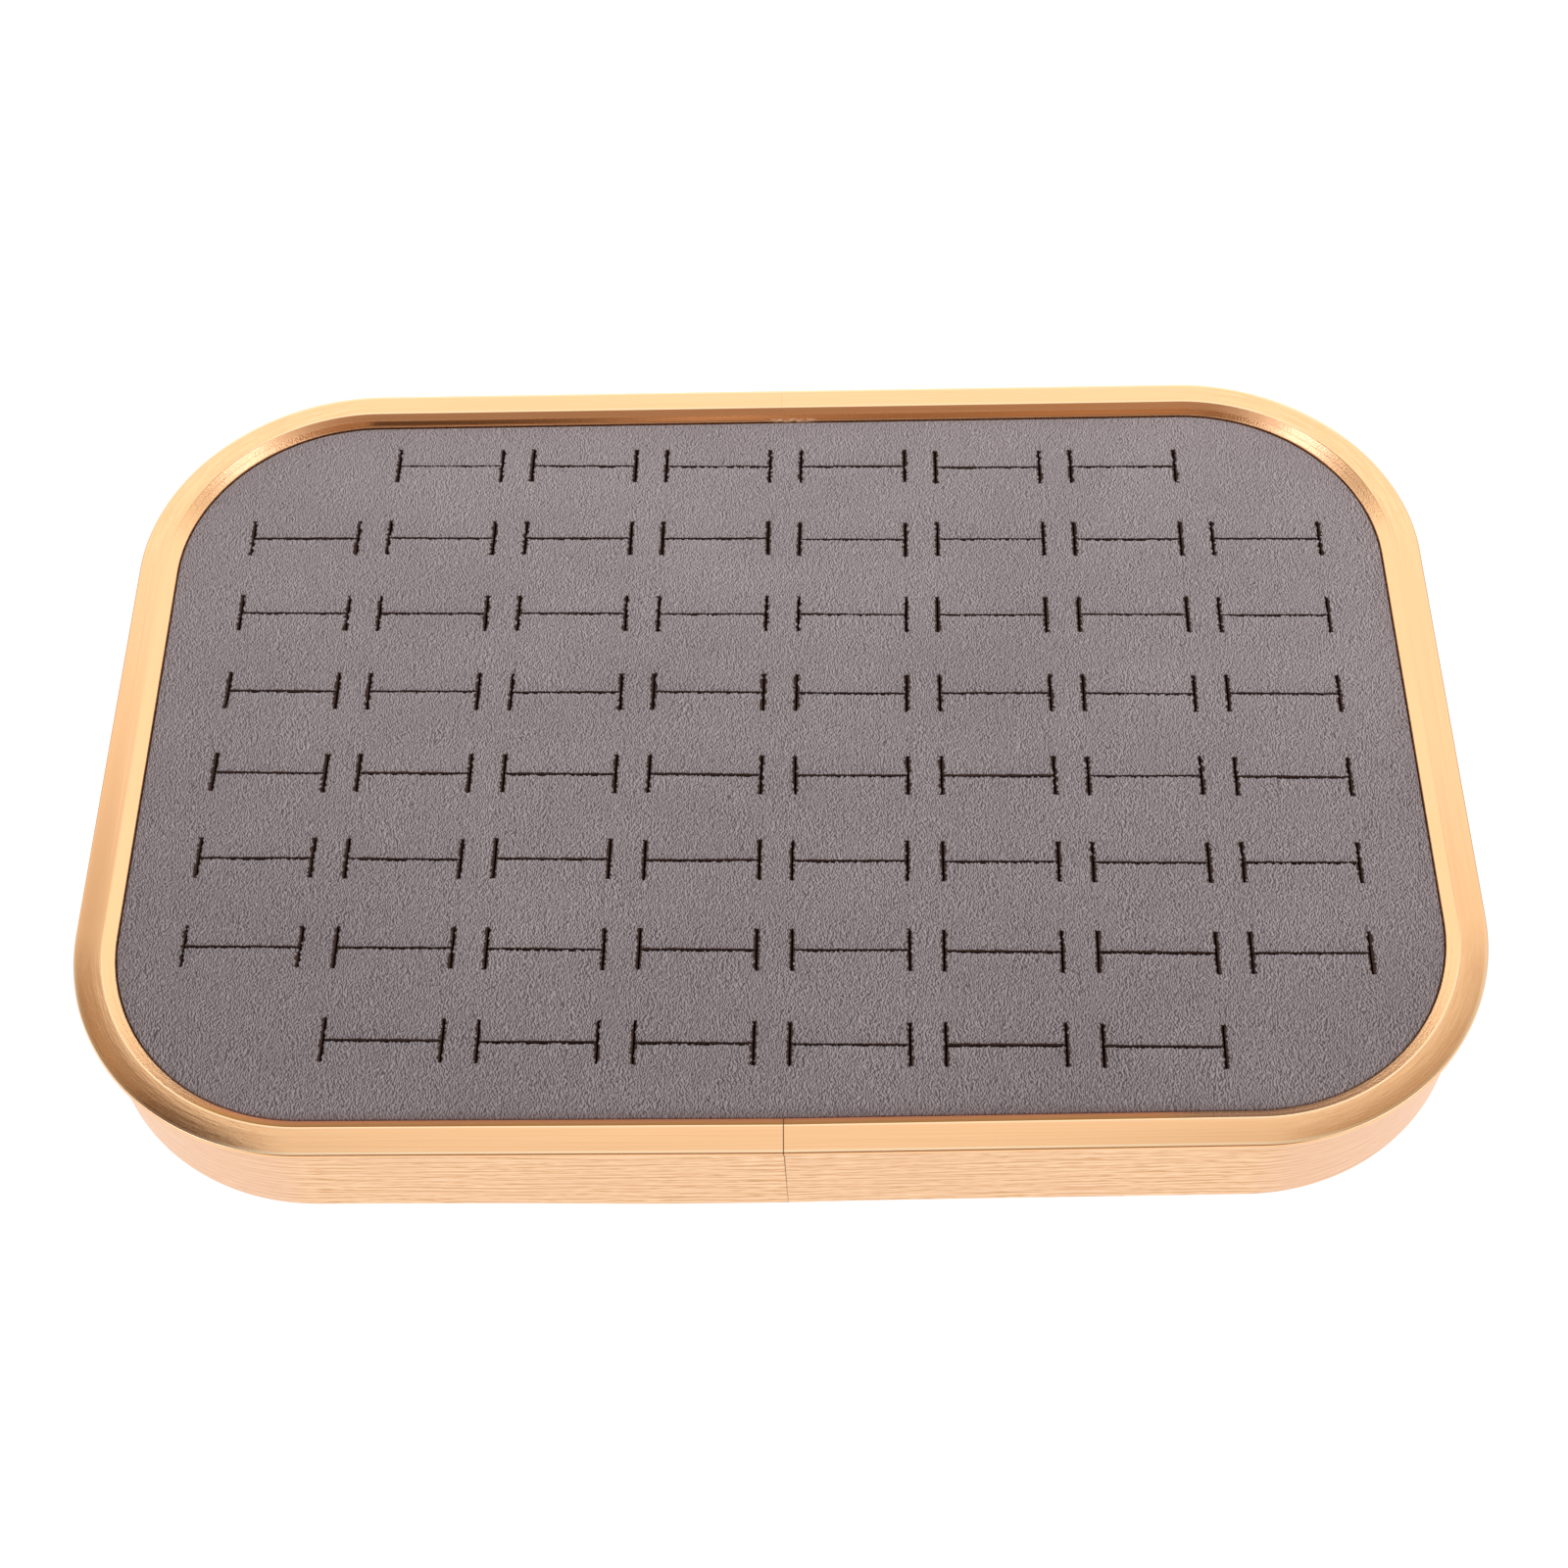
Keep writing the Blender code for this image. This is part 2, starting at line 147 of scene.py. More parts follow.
def ramp(tree, factor, stops):
    made = node(tree, "ValToRGB", {0: factor})
    made.color_ramp.interpolation = "LINEAR"
    for i, (place, colour) in enumerate(stops):
        element = made.color_ramp.elements[i] if i < 2 else made.color_ramp.elements.new(place)
        element.position = place
        element.color = (*colour, 1.0)
    return made.outputs[0]


def bump(tree, height, distance, normal=None, strength=1.0):
    inputs = {"Height": height, "Distance": distance, "Strength": strength}
    if normal is not None:
        inputs["Normal"] = normal
    return node(tree, "Bump", inputs).outputs[0]


def finish_of(name, **values):
    """New material: (material, its tree, its Principled BSDF), with uniform values set on the sockets."""
    mat = bpy.data.materials.new(name)
    mat.use_nodes = True
    tree = mat.node_tree
    shader = tree.nodes["Principled BSDF"]
    for key, value in values.items():
        shader.inputs[key.replace("_", " ")].default_value = value
    return mat, tree, shader


def place(tree):
    """A point of the surface in millimetres, in the piece's own frame."""
    return vec(tree, "SCALE", node(tree, "TexCoord").outputs["Object"], scale=1000.0)


def axes(tree, vector):
    return node(tree, "SeparateXYZ", {0: vector}).outputs


def stretched(tree, vector, sx, sy, sz):
    return vec(tree, "MULTIPLY", vector, (sx, sy, sz))


# ==== finishes ==================================================================
def corner_mask(tree, point):
    """1 round the four bends of the frame, 0 on its straights."""
    x, y, _ = axes(tree, point)
    return calc(tree, "MULTIPLY",
                span(tree, calc(tree, "ABSOLUTE", x), OPEN_HALF_X - OPEN_R - 4, OPEN_HALF_X - OPEN_R + 14),
                span(tree, calc(tree, "ABSOLUTE", y), OPEN_HALF_Y - OPEN_R - 4, OPEN_HALF_Y - OPEN_R + 14))


def gold(name, colour, roughness, anisotropy, kind):
    mat, tree, shader = finish_of(name, Metallic=1.0, Anisotropic=anisotropy, Anisotropic_Rotation=0.25)
    uv = vec(tree, "SCALE", node(tree, "UVMap", uv_map="sweep").outputs[0], scale=1000.0)
    tree.links.new(node(tree, "Tangent", direction_type="UV_MAP", uv_map="sweep").outputs[0],
                   shader.inputs["Tangent"])
    point = place(tree)
    bend = corner_mask(tree, point)
    wander = grain(tree, stretched(tree, uv, 0.045, 0.10, 1.0), 1.0, 1.5)
    wavy = vec(tree, "ADD", uv, combine(tree, 0.0, calc(tree, "MULTIPLY", wander, 0.45)))
    long_lines = grain(tree, stretched(tree, uv, 0.012, 3.4, 1.0), 1.0, 3.0, 0.6)
    cloudy = grain(tree, stretched(tree, point, 0.05, 0.05, 0.05), 1.0, 2.0)
    # the dark hairline of the joints, which leans on the front face
    px, py, pz = axes(tree, point)
    seam = calc(tree, "SUBTRACT", px, SEAM_X)
    if kind == "brushed":
        lean = calc(tree, "MULTIPLY", span(tree, pz, 0.8, 31.8, 0.5, 0.0, False), span(tree, py, -113.0, -115.0))
        seam = calc(tree, "SUBTRACT", seam, lean)
    seam = span(tree, calc(tree, "ABSOLUTE", seam), 0.19, 0.08)
    seam = calc(tree, "MULTIPLY", seam, span(tree, py, 0.0, -10.0))
    if kind == "brushed":
        lines = stretched(tree, wavy, 0.048, 1.15, 1.0)
        short = grain(tree, lines, 1.0, 0.8, 0.5)
        under = grain(tree, vec(tree, "ADD", lines, (0.0, 1.0, 0.0)), 1.0, 0.8, 0.5)
        fine = grain(tree, stretched(tree, wavy, 0.24, 1.9, 1.0), 1.0, 0.5, 0.5)
        streaks = calc(tree, "MULTIPLY_ADD", calc(tree, "SUBTRACT", short, under), 0.42,
                       calc(tree, "MULTIPLY_ADD", fine, 0.30, 0.35))
        streaks = calc(tree, "SUBTRACT", streaks, calc(tree, "MULTIPLY", bend, 0.012))
        dark = span(tree, streaks, 0.40, 0.485)
        light = span(tree, streaks, 0.515, 0.58)
        soft = calc(tree, "MULTIPLY_ADD", bend, -0.25, 1.0)
        tone = blend(tree, calc(tree, "MULTIPLY", calc(tree, "SUBTRACT", 1.0, dark), soft), colour,
                     [c * k for c, k in zip(colour, (0.80, 0.72, 0.58))])
        tone = blend(tree, calc(tree, "MULTIPLY", light, soft), tone,
                     [min(1.0, c * k) for c, k in zip(colour, (1.08, 1.17, 1.25))])
        tone = blend(tree, calc(tree, "MULTIPLY", span(tree, cloudy, 0.45, 0.65), 0.35), tone,
                     [c * k for c, k in zip(colour, (0.97, 0.93, 0.97))])
        # painted sheen: a less yellow, pinker tone at the bends stands in for the grazing haze there
        tone = blend(tree, bend, tone, blend(tree, 0.6, tone, (0.86, 0.55, 0.37)))
        # painted shade: a dark band along the top of the front face, where the cap's overhang shades it
        tone = blend(tree, calc(tree, "MULTIPLY", span(tree, pz, 31.70, 31.95), 0.55), tone, (0.30, 0.150, 0.065))
        rough = span(tree, streaks, 0.4, 0.6, roughness + 0.06, roughness - 0.04, False)
        normal = bump(tree, streaks, 3.5e-5)
    elif kind == "bevel":
        pebble = grain(tree, stretched(tree, point, 2.0, 2.0, 2.0), 1.0, 2.0, 0.6)
        height = calc(tree, "MULTIPLY", pebble, bend)
        normal = bump(tree, long_lines, 5.0e-6, bump(tree, height, 0.8e-4))
        scrape = calc(tree, "MULTIPLY",
                      span(tree, axes(tree, point)[1], 100.0, 104.0),
                      span(tree, calc(tree, "ABSOLUTE", calc(tree, "SUBTRACT", axes(tree, point)[0], 4.5)), 8.0, 4.0))
        scrape = calc(tree, "MULTIPLY", scrape, span(tree, axes(tree, point)[2], 31.95, 31.35))
        scratches = grain(tree, stretched(tree, point, 0.55, 0.55, 7.0), 1.0, 4.0, 0.6)
        scrape = calc(tree, "MULTIPLY", scrape, span(tree, scratches, 0.48, 0.55))
        hazy = calc(tree, "MULTIPLY", span(tree, axes(tree, point)[1], 100.0, 104.0), span(tree, pz, 32.25, 32.75))
        tone = blend(tree, cloudy, [c * 0.97 for c in colour], [c * 1.02 for c in colour])
        # painted reflection: darker along the front straight, reddish by the pad and yellowish brown by the top edge,
        # where the bevel reflects the pad and the frame
        front_bevel_reflection = span(tree, axes(tree, point)[1], -100.0, -108.0)
        front_bevel_reflection = calc(tree, "MULTIPLY", front_bevel_reflection, span(tree, px, 108.0, 88.0))
        two = span(tree, pz, 31.9, 33.2)
        tone = blend(tree, front_bevel_reflection, tone, blend(tree, two, (0.96, 0.41, 0.185), (0.80, 0.40, 0.120)))
        tone = blend(tree, scrape, tone, (1.00, 0.76, 0.54))
        rough = calc(tree, "ADD", span(tree, long_lines, 0.3, 0.7, roughness - 0.02, roughness + 0.03, False),
                     calc(tree, "MULTIPLY_ADD", front_bevel_reflection, 0.17, calc(tree, "MULTIPLY", scrape, 0.7)))
        rough = calc(tree, "MULTIPLY_ADD", hazy, 0.14, rough)
    elif kind == "cap":
        mottle = grain(tree, stretched(tree, uv, 0.10, 0.75, 1.0), 1.0, 3.0, 0.55)
        crumbs = grain(tree, stretched(tree, uv, 0.45, 1.6, 1.0), 1.0, 2.0, 0.5)
        fibres = grain(tree, stretched(tree, uv, 0.020, 2.3, 1.0), 1.0, 2.0)
        height = calc(tree, "MULTIPLY", calc(tree, "MULTIPLY_ADD", crumbs, 0.25, mottle), bend)
        drawn_in = calc(tree, "MULTIPLY", long_lines, calc(tree, "MULTIPLY_ADD", bend, 2.2, 1.0))
        normal = bump(tree, drawn_in, 5.0e-6, bump(tree, height, 5.0e-5))
        plain = calc(tree, "MULTIPLY_ADD", fibres, 0.6, calc(tree, "MULTIPLY", long_lines, 0.4))
        uneven = calc(tree, "MULTIPLY_ADD", mottle, 0.7, calc(tree, "MULTIPLY", crumbs, 0.3))
        drawn = calc(tree, "ADD", span(tree, plain, 0.36, 0.64, 0.22, 0.78, False),
                     calc(tree, "MULTIPLY", calc(tree, "SUBTRACT", span(tree, uneven, 0.36, 0.64), 0.5),
                          calc(tree, "MULTIPLY", bend, 0.75)), clamp=True)
        tone = blend(tree, drawn, [c * k for c, k in zip(colour, (0.95, 0.92, 0.89))],
                     [min(1.0, c * k) for c, k in zip(colour, (1.03, 1.06, 1.09))])
        specks = cells(tree, stretched(tree, point, 0.075, 0.075, 0.075), 1.0)
        tone = blend(tree, span(tree, specks, 0.018, 0.010), tone, (0.42, 0.20, 0.08))
        rough = calc(tree, "ADD", span(tree, drawn, 0.2, 0.8, roughness + 0.02, roughness - 0.02, False),
                     calc(tree, "MULTIPLY", calc(tree, "MULTIPLY_ADD", mottle, 0.04, -0.05), bend))
    elif kind == "edge":
        normal = bump(tree, long_lines, 5.0e-6)
        tone = blend(tree, grain(tree, stretched(tree, uv, 0.05, 2.0, 1.0), 1.0, 2.0), [c * 0.93 for c in colour],
                     [min(1.0, c * 1.05) for c in colour])
        # painted highlight: the lighter edge line shows along the front and the back; on the sides the edge keeps the
        # plain gold
        edge_highlight_mask = calc(tree, "MAXIMUM", span(tree, py, -50.0, -78.0), span(tree, py, 92.0, 105.0))
        tone = blend(tree, edge_highlight_mask, (0.945, 0.560, 0.292), tone)
        rough = span(tree, long_lines, 0.3, 0.7, roughness - 0.02, roughness + 0.04, False)
    else:
        mill = grain(tree, stretched(tree, uv, 0.02, 3.0, 1.0), 1.0, 3.0, 0.6)
        normal = bump(tree, mill, 1.2e-5)
        tone = blend(tree, mill, [c * 0.86 for c in colour], colour)
        rough = span(tree, cloudy, 0.3, 0.7, roughness - 0.04, roughness + 0.08, False)
    if kind in ("cap", "edge"):                            # the outer edge is browner along both sides: a painted dark reflection in its rounding
        bead_dark_reflection = calc(tree, "MULTIPLY", span(tree, pz, 33.17, 33.10), span(tree, calc(tree, "ABSOLUTE", px), 150.0, 166.0))
        bead_dark_reflection = calc(tree, "MULTIPLY", bead_dark_reflection, span(tree, calc(tree, "ABSOLUTE", py), 92.0, 66.0))
        tone = blend(tree, bead_dark_reflection, tone, (0.56, 0.29, 0.14))
    if kind != "inner":
        shown = span(tree, pz, 3.0, 26.0, 0.26, 0.66) if kind == "brushed" else 0.86
        tone = blend(tree, calc(tree, "MULTIPLY", seam, shown), tone, (0.110, 0.038, 0.010))
    tree.links.new(tone, shader.inputs["Base Color"])
    tree.links.new(rough, shader.inputs["Roughness"])
    tree.links.new(normal, shader.inputs["Normal"])
    return mat


GOLD_CAP = gold("gold_cap", (0.945, 0.560, 0.292), 0.22, 0.45, "cap")
GOLD_BEVEL = gold("gold_bevel", (0.945, 0.555, 0.285), 0.15, 0.30, "bevel")
GOLD_FASCIA = gold("gold_fascia", (0.900, 0.568, 0.326), 0.34, 0.55, "brushed")
# painted highlight: a lighter gold for the thin lines along the crease and the outer bead
GOLD_EDGE_HIGHLIGHT = gold("gold_edge_painted_highlight", (1.000, 0.700, 0.430), 0.20, 0.30, "edge")
GOLD_INNER = gold("gold_inner", (0.900, 0.540, 0.280), 0.38, 0.30, "inner")


def velvet():
    mat, tree, shader = finish_of("taupe_velvet", Sheen_Weight=0.30, Sheen_Roughness=0.45,
                                  Sheen_Tint=(0.93, 0.88, 0.90, 1.0), Specular_IOR_Level=0.12, Roughness=0.95)
    point = place(tree)
    x, y, z = axes(tree, point)
    swirl = node(tree, "TexNoise", {"Vector": stretched(tree, point, 0.11, 0.11, 0.11), "Scale": 1.0,
                                    "Detail": 1.0}).outputs["Color"]
    swirl = vec(tree, "SCALE", vec(tree, "SUBTRACT", swirl, (0.5, 0.5, 0.5)), scale=2.4)
    shiver = node(tree, "TexNoise", {"Vector": stretched(tree, point, 0.8, 0.8, 0.8), "Scale": 1.0,
                                     "Detail": 0.0}).outputs["Color"]
    swirl = vec(tree, "ADD", swirl, vec(tree, "SCALE", vec(tree, "SUBTRACT", shiver, (0.5, 0.5, 0.5)), scale=0.5))
    combed = vec(tree, "ADD", point, swirl)

    def strands(at):
        # strands lie along the depth of the pad, a third of a millimetre wide and a millimetre long
        fine = grain(tree, stretched(tree, at, 4.3, 1.35, 1.4), 1.0, 0.6, 0.5)
        tuft = grain(tree, stretched(tree, at, 2.1, 0.75, 1.0), 1.0, 0.0, 0.5)
        return calc(tree, "MULTIPLY_ADD", fine, 0.84, calc(tree, "MULTIPLY", tuft, 0.16))

    pile = strands(combed)
    # painted light and shade: the pile is shaded in its colour as if lit from one side, from the difference of two
    # offset copies of the strands
    lit = calc(tree, "SUBTRACT", pile, strands(vec(tree, "ADD", combed, (0.31, -0.06, 0.0))))
    nap = grain(tree, stretched(tree, point, 0.022, 0.03, 0.03), 1.0, 3.0, 0.55)
    pile_painted_shading = calc(tree, "MULTIPLY_ADD", calc(tree, "SUBTRACT", pile, 0.5), 1.3, calc(tree, "MULTIPLY", lit, 2.2))
    pile_painted_shading = calc(tree, "MULTIPLY", pile_painted_shading, span(tree, y, -95.0, 100.0, 1.44, 0.80, False))
    shade = span(tree, pile_painted_shading, -0.45, 0.45, 0.42, 1.58, False)
    shade = calc(tree, "MULTIPLY", shade, span(tree, nap, 0.3, 0.7, 0.95, 1.05, False))
    # painted light: the velvet is darker towards the front and lighter towards the back, a little darker at the far
    # left and lighter at the right, as the light falls off from the back
    painted_light_falloff = calc(tree, "MULTIPLY", span(tree, y, -105.0, 105.0, 0.872, 1.228, False), span(tree, x, -140.0, -60.0, 0.94, 1.0))
    painted_light_falloff = calc(tree, "MULTIPLY", painted_light_falloff, span(tree, x, 60.0, 140.0, 1.0, 1.04))
    shade = calc(tree, "MULTIPLY", shade, painted_light_falloff)
    tone = blend(tree, nap, (0.261, 0.226, 0.2330), (0.269, 0.237, 0.2370))
    tone = vec(tree, "MULTIPLY", tone, combine(tree, shade, shade, shade))
    # painted shade: the velvet darkens where it turns over the front edge
    front_edge_shade = calc(tree, "MULTIPLY", span(tree, y, -106.2, -108.6), 0.32)
    tone = blend(tree, front_edge_shade, tone, (0.115, 0.083, 0.082))
    tree.links.new(tone, shader.inputs["Base Color"])
    tree.links.new(bump(tree, pile, 1.6e-4), shader.inputs["Normal"])
    return mat


def slit_wall():
    mat, tree, shader = finish_of("cut_backing", Roughness=1.0, Specular_IOR_Level=0.05)
    point = place(tree)
    fray = grain(tree, stretched(tree, point, 3.5, 3.5, 1.2), 1.0, 2.0)
    tree.links.new(blend(tree, fray, (0.034, 0.016, 0.012), (0.150, 0.092, 0.070)), shader.inputs["Base Color"])
    tree.links.new(bump(tree, fray, 1.0e-4), shader.inputs["Normal"])
    return mat


def foam():
    mat, tree, shader = finish_of("dark_foam", Roughness=0.95, Specular_IOR_Level=0.1)
    point = place(tree)
    bubbles = cells(tree, point, 1.6)
    spread = grain(tree, stretched(tree, point, 0.08, 0.08, 0.08), 1.0, 2.0)
    tone = blend(tree, span(tree, bubbles, 0.1, 0.6), (0.020, 0.015, 0.012), (0.060, 0.048, 0.038))
    tone = blend(tree, spread, tone, (0.040, 0.030, 0.025))
    tree.links.new(tone, shader.inputs["Base Color"])
    tree.links.new(bump(tree, bubbles, 1.5e-4), shader.inputs["Normal"])
    return mat


def pressed_fibre(name, dark, light, fleck, roughness, scale, depth):
    """Boards, card and felt: matted fibres with flecks."""
    mat, tree, shader = finish_of(name, Specular_IOR_Level=0.2)
    point = place(tree)
    warp = node(tree, "TexNoise", {"Vector": point, "Scale": scale * 0.5, "Detail": 2.0}).outputs["Color"]
    warped = vec(tree, "ADD", point, vec(tree, "SCALE", warp, scale=2.5 / scale))
    fibre = grain(tree, stretched(tree, warped, scale, scale * 0.25, scale), 1.0, 4.0, 0.6)
    cross = grain(tree, stretched(tree, warped, scale * 0.22, scale, scale), 1.0, 4.0, 0.6)
    mat_height = calc(tree, "MULTIPLY_ADD", fibre, 0.5, calc(tree, "MULTIPLY", cross, 0.5))
    flecks = span(tree, cells(tree, warped, scale * 0.35), 0.16, 0.08)
    cloud = grain(tree, stretched(tree, point, 0.03, 0.03, 0.03), 1.0, 3.0)
    tone = blend(tree, span(tree, mat_height, 0.36, 0.64), dark, light)
    tone = blend(tree, calc(tree, "MULTIPLY", flecks, 0.6), tone, fleck)
    tone = blend(tree, calc(tree, "MULTIPLY", cloud, 0.35), tone, [c * 0.8 for c in light])
    tree.links.new(tone, shader.inputs["Base Color"])
    tree.links.new(span(tree, mat_height, 0.3, 0.7, roughness + 0.05, roughness - 0.08, False),
                   shader.inputs["Roughness"])
    tree.links.new(bump(tree, mat_height, depth), shader.inputs["Normal"])
    return mat


def rubber():
    mat, tree, shader = finish_of("grey_rubber", IOR=1.45, Transmission_Weight=0.35, Subsurface_Weight=0.0)
    point = place(tree)
    dust = grain(tree, point, 1.1, 4.0, 0.65)
    tree.links.new(blend(tree, dust, (0.40, 0.41, 0.43), (0.58, 0.59, 0.60)), shader.inputs["Base Color"])
    tree.links.new(span(tree, dust, 0.35, 0.7, 0.22, 0.5, False), shader.inputs["Roughness"])
    tree.links.new(bump(tree, dust, 2.0e-5), shader.inputs["Normal"])
    return mat


def steel(name, dark, light, roughness, depth):
    mat, tree, shader = finish_of(name, Metallic=1.0)
    point = place(tree)
    plate = grain(tree, point, 1.4, 4.0, 0.6)
    fine = grain(tree, stretched(tree, point, 6.0, 6.0, 6.0), 1.0, 3.0)
    tree.links.new(blend(tree, plate, dark, light), shader.inputs["Base Color"])
    tree.links.new(span(tree, plate, 0.3, 0.7, roughness - 0.06, roughness + 0.12, False),
                   shader.inputs["Roughness"])
    tree.links.new(bump(tree, fine, depth), shader.inputs["Normal"])
    return mat


def mill_bar():
    mat, tree, shader = finish_of("mill_aluminium", Metallic=1.0)
    point = place(tree)
    drawn = grain(tree, stretched(tree, point, 0.04, 4.0, 4.0), 1.0, 4.0, 0.6)
    stain = grain(tree, stretched(tree, point, 0.1, 0.1, 0.1), 1.0, 3.0)
    tone = blend(tree, drawn, (0.62, 0.63, 0.65), (0.78, 0.79, 0.80))
    tree.links.new(blend(tree, calc(tree, "MULTIPLY", stain, 0.4), tone, (0.52, 0.52, 0.52)),
                   shader.inputs["Base Color"])
    tree.links.new(span(tree, stain, 0.3, 0.7, 0.30, 0.46, False), shader.inputs["Roughness"])
    tree.links.new(bump(tree, drawn, 1.5e-5), shader.inputs["Normal"])
    return mat


VELVET = velvet()
SLIT_WALL = slit_wall()
FOAM = foam()
FIBREBOARD = pressed_fibre("fibreboard", (0.20, 0.120, 0.062), (0.42, 0.285, 0.165), (0.12, 0.07, 0.04), 0.80, 1.4, 4e-5)
CARD = pressed_fibre("grey_card", (0.24, 0.23, 0.21), (0.36, 0.35, 0.32), (0.12, 0.12, 0.12), 0.85, 1.8, 2e-5)
FELT = pressed_fibre("charcoal_felt", (0.026, 0.026, 0.030), (0.075, 0.075, 0.082), (0.15, 0.15, 0.16), 0.95, 2.2, 2e-4)
RUBBER = rubber()
BLACK_STEEL = steel("black_oxide_steel", (0.028, 0.028, 0.030), (0.060, 0.060, 0.064), 0.38, 6e-6)
ZINC_STEEL = steel("zinc_plated_steel", (0.50, 0.52, 0.56), (0.66, 0.66, 0.64), 0.28, 6e-6)
MILL = mill_bar()


# ==== mesh helpers ==============================================================
def toe_out(x, y):
    """The two front legs lean outward a little towards their joint, and what lies in the frame follows."""
    if y >= -80.0:
        return x, y
    reach = max(0.0, 1.0 - abs(x - SEAM_X) / (OPEN_HALF_X - OPEN_R))
    return x, y - TOE_OUT * reach * min(1.0, (-y - 80.0) / 17.0)


def lifted(x, y, z):
    """Millimetres above the frame's bottom edge, as a point of the row frame in metres."""
    return (x * M, y * M, (z + FRAME_LIFT) * M)


class Builder:
    """Collects points and faces, then makes one mesh."""

    def __init__(self):
        self.points, self.faces, self.mats, self.uvs = [], [], [], []

    def add(self, points):
        start = len(self.points)
        self.points.extend(points)
        return list(range(start, len(self.points)))

    def face(self, corners, mat=0, uv=None):
        self.faces.append(tuple(corners))
        self.mats.append(mat)
        self.uvs.append(uv)

    def bridge(self, ring_a, ring_b, mat=0, closed=True):
        n = len(ring_a)
        for i in range(n if closed else n - 1):
            j = (i + 1) % n
            self.face((ring_a[i], ring_a[j], ring_b[j], ring_b[i]), mat)

    def mesh(self, name, materials, recalc=True, uv_name=None):
        mesh = bpy.data.meshes.new(name)
        mesh.from_pydata(self.points, [], self.faces)
        mesh.polygons.foreach_set("material_index", self.mats)
        if uv_name:
            layer = mesh.uv_layers.new(name=uv_name)
            flat = []
            for corners, uv in zip(self.faces, self.uvs):
                flat.extend(uv if uv is not None else [(0.0, 0.0)] * len(corners))
            layer.data.foreach_set("uv", np.array(flat, np.float32).ravel())
        for mat in materials:
            mesh.materials.append(mat)
        mesh.validate(clean_customdata=False)
        if recalc:
            bm = bmesh.new()
            bm.from_mesh(mesh)
            bmesh.ops.recalc_face_normals(bm, faces=bm.faces)
            bm.to_mesh(mesh)
            bm.free()
        mesh.update()
        return mesh


def shaded(mesh, angle=35.0):
    mesh.shade_smooth()
    mesh.set_sharp_from_angle(angle=radians(angle))
    return mesh


def piece(name, mesh, body, slot, *nodes):
    ob = bpy.data.objects.new(name, mesh)
    scene.collection.objects.link(ob)
    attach(ob, body)
    if nodes:
        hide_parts(*nodes)
    return ob


def applied(ob):
    """The object's modifiers applied to its mesh."""
    bpy.context.view_layer.update()
    done = bpy.data.meshes.new_from_object(ob.evaluated_get(bpy.context.evaluated_depsgraph_get()))
    ob.modifiers.clear()
    ob.data = done
    return done


def carve(ob, cutter_mesh):
    tool = bpy.data.objects.new("cutter", cutter_mesh)
    scene.collection.objects.link(tool)
    mod = ob.modifiers.new("cut", "BOOLEAN")
    mod.operation, mod.solver, mod.object = "DIFFERENCE", "EXACT", tool
    applied(ob)
    bpy.data.objects.remove(tool, do_unlink=True)


def lathe(profile, segs):
    """Turned mesh from (radius, z) points in metres: axis, top to bottom down the outside, axis."""
    b = Builder()
    rings = []
    for r, z in profile:
        if r <= 0.0:
            rings.append(b.add([(0.0, 0.0, z)]))
        else:
            rings.append(b.add([(r * cos(2 * pi * i / segs), r * sin(2 * pi * i / segs), z) for i in range(segs)]))
    for upper, lower in zip(rings, rings[1:]):
        for i in range(segs):
            j = (i + 1) % segs
            corners = [upper[i % len(upper)], upper[j % len(upper)], lower[j % len(lower)], lower[i % len(lower)]]
            corners = list(dict.fromkeys(corners))
            if len(corners) > 2:
                b.face(corners)
    return b.mesh("turned", [])


def merged(name, mesh, matrices):
    out = bpy.data.meshes.new(name)
    bm = bmesh.new()
    for matrix in matrices:
        one = mesh.copy()
        one.transform(matrix)
        bm.from_mesh(one)
        bpy.data.meshes.remove(one)
    bm.to_mesh(out)
    bm.free()
    return out


def prism(loop, z0, z1):
    """Straight-sided cutter from a 2D loop in mm."""
    b = Builder()
    low = b.add([(x * M, y * M, z0 * M) for x, y in loop])
    high = b.add([(x * M, y * M, z1 * M) for x, y in loop])
    b.bridge(low, high)
    b.face(low)
    b.face(high)
    return b.mesh("prism", [])


def rim_stations(corner=40, step=3.0):
    """Points round the whole opening: (x, y, outward x, outward y, bend 0-1, angle)."""
    a, b, r = OPEN_HALF_X, OPEN_HALF_Y, OPEN_R
    centres = [(a - r, r - b, -90), (a - r, b - r, 0), (r - a, b - r, 90), (r - a, r - b, 180)]
    out = []
    for k, (cx, cy, start) in enumerate(centres):
        for i in range(corner + 1):
            t = radians(start + 90.0 * i / corner)
            out.append((cx + r * cos(t), cy + r * sin(t), cos(t), sin(t), sin(pi * i / corner), start + 90.0 * i / corner))
        nx_, ny_, next_start = centres[(k + 1) % 4]
        t = radians(next_start)
        end = (nx_ + r * cos(t), ny_ + r * sin(t))
        length = hypot(end[0] - out[-1][0], end[1] - out[-1][1])
        count, here = max(2, round(length / step)), out[-1]
        for i in range(1, count):
            f = i / count
            out.append((here[0] + (end[0] - here[0]) * f, here[1] + (end[1] - here[1]) * f,
                        here[2], here[3], 0.0, next_start))
    return out


RIM = rim_stations()


def rim_ring(d, z, jitter=None):
    """Ring at distance d outside the opening; jitter(station index) gives an extra (d, z)."""
    ring = []
    for i, (bx, by, nx, ny, _, _) in enumerate(RIM):
        dd, dz = jitter(i) if jitter else (0.0, 0.0)
        ring.append(lifted(*toe_out(bx + nx * (d + dd), by + ny * (d + dd)), z + dz))
    return ring


def wobble(*at):
    return perlin.noise(Vector(at))


# ==== frame halves ==============================================================
def arc(cx, cz, r, start, end, count):
    """Points of an arc; angles are those of the surface's outward direction, 0 = outward, 90 = up."""
    return [(cx + r * cos(radians(start + (end - start) * i / count)),
             cz + r * sin(radians(start + (end - start) * i / count))) for i in range(count + 1)]


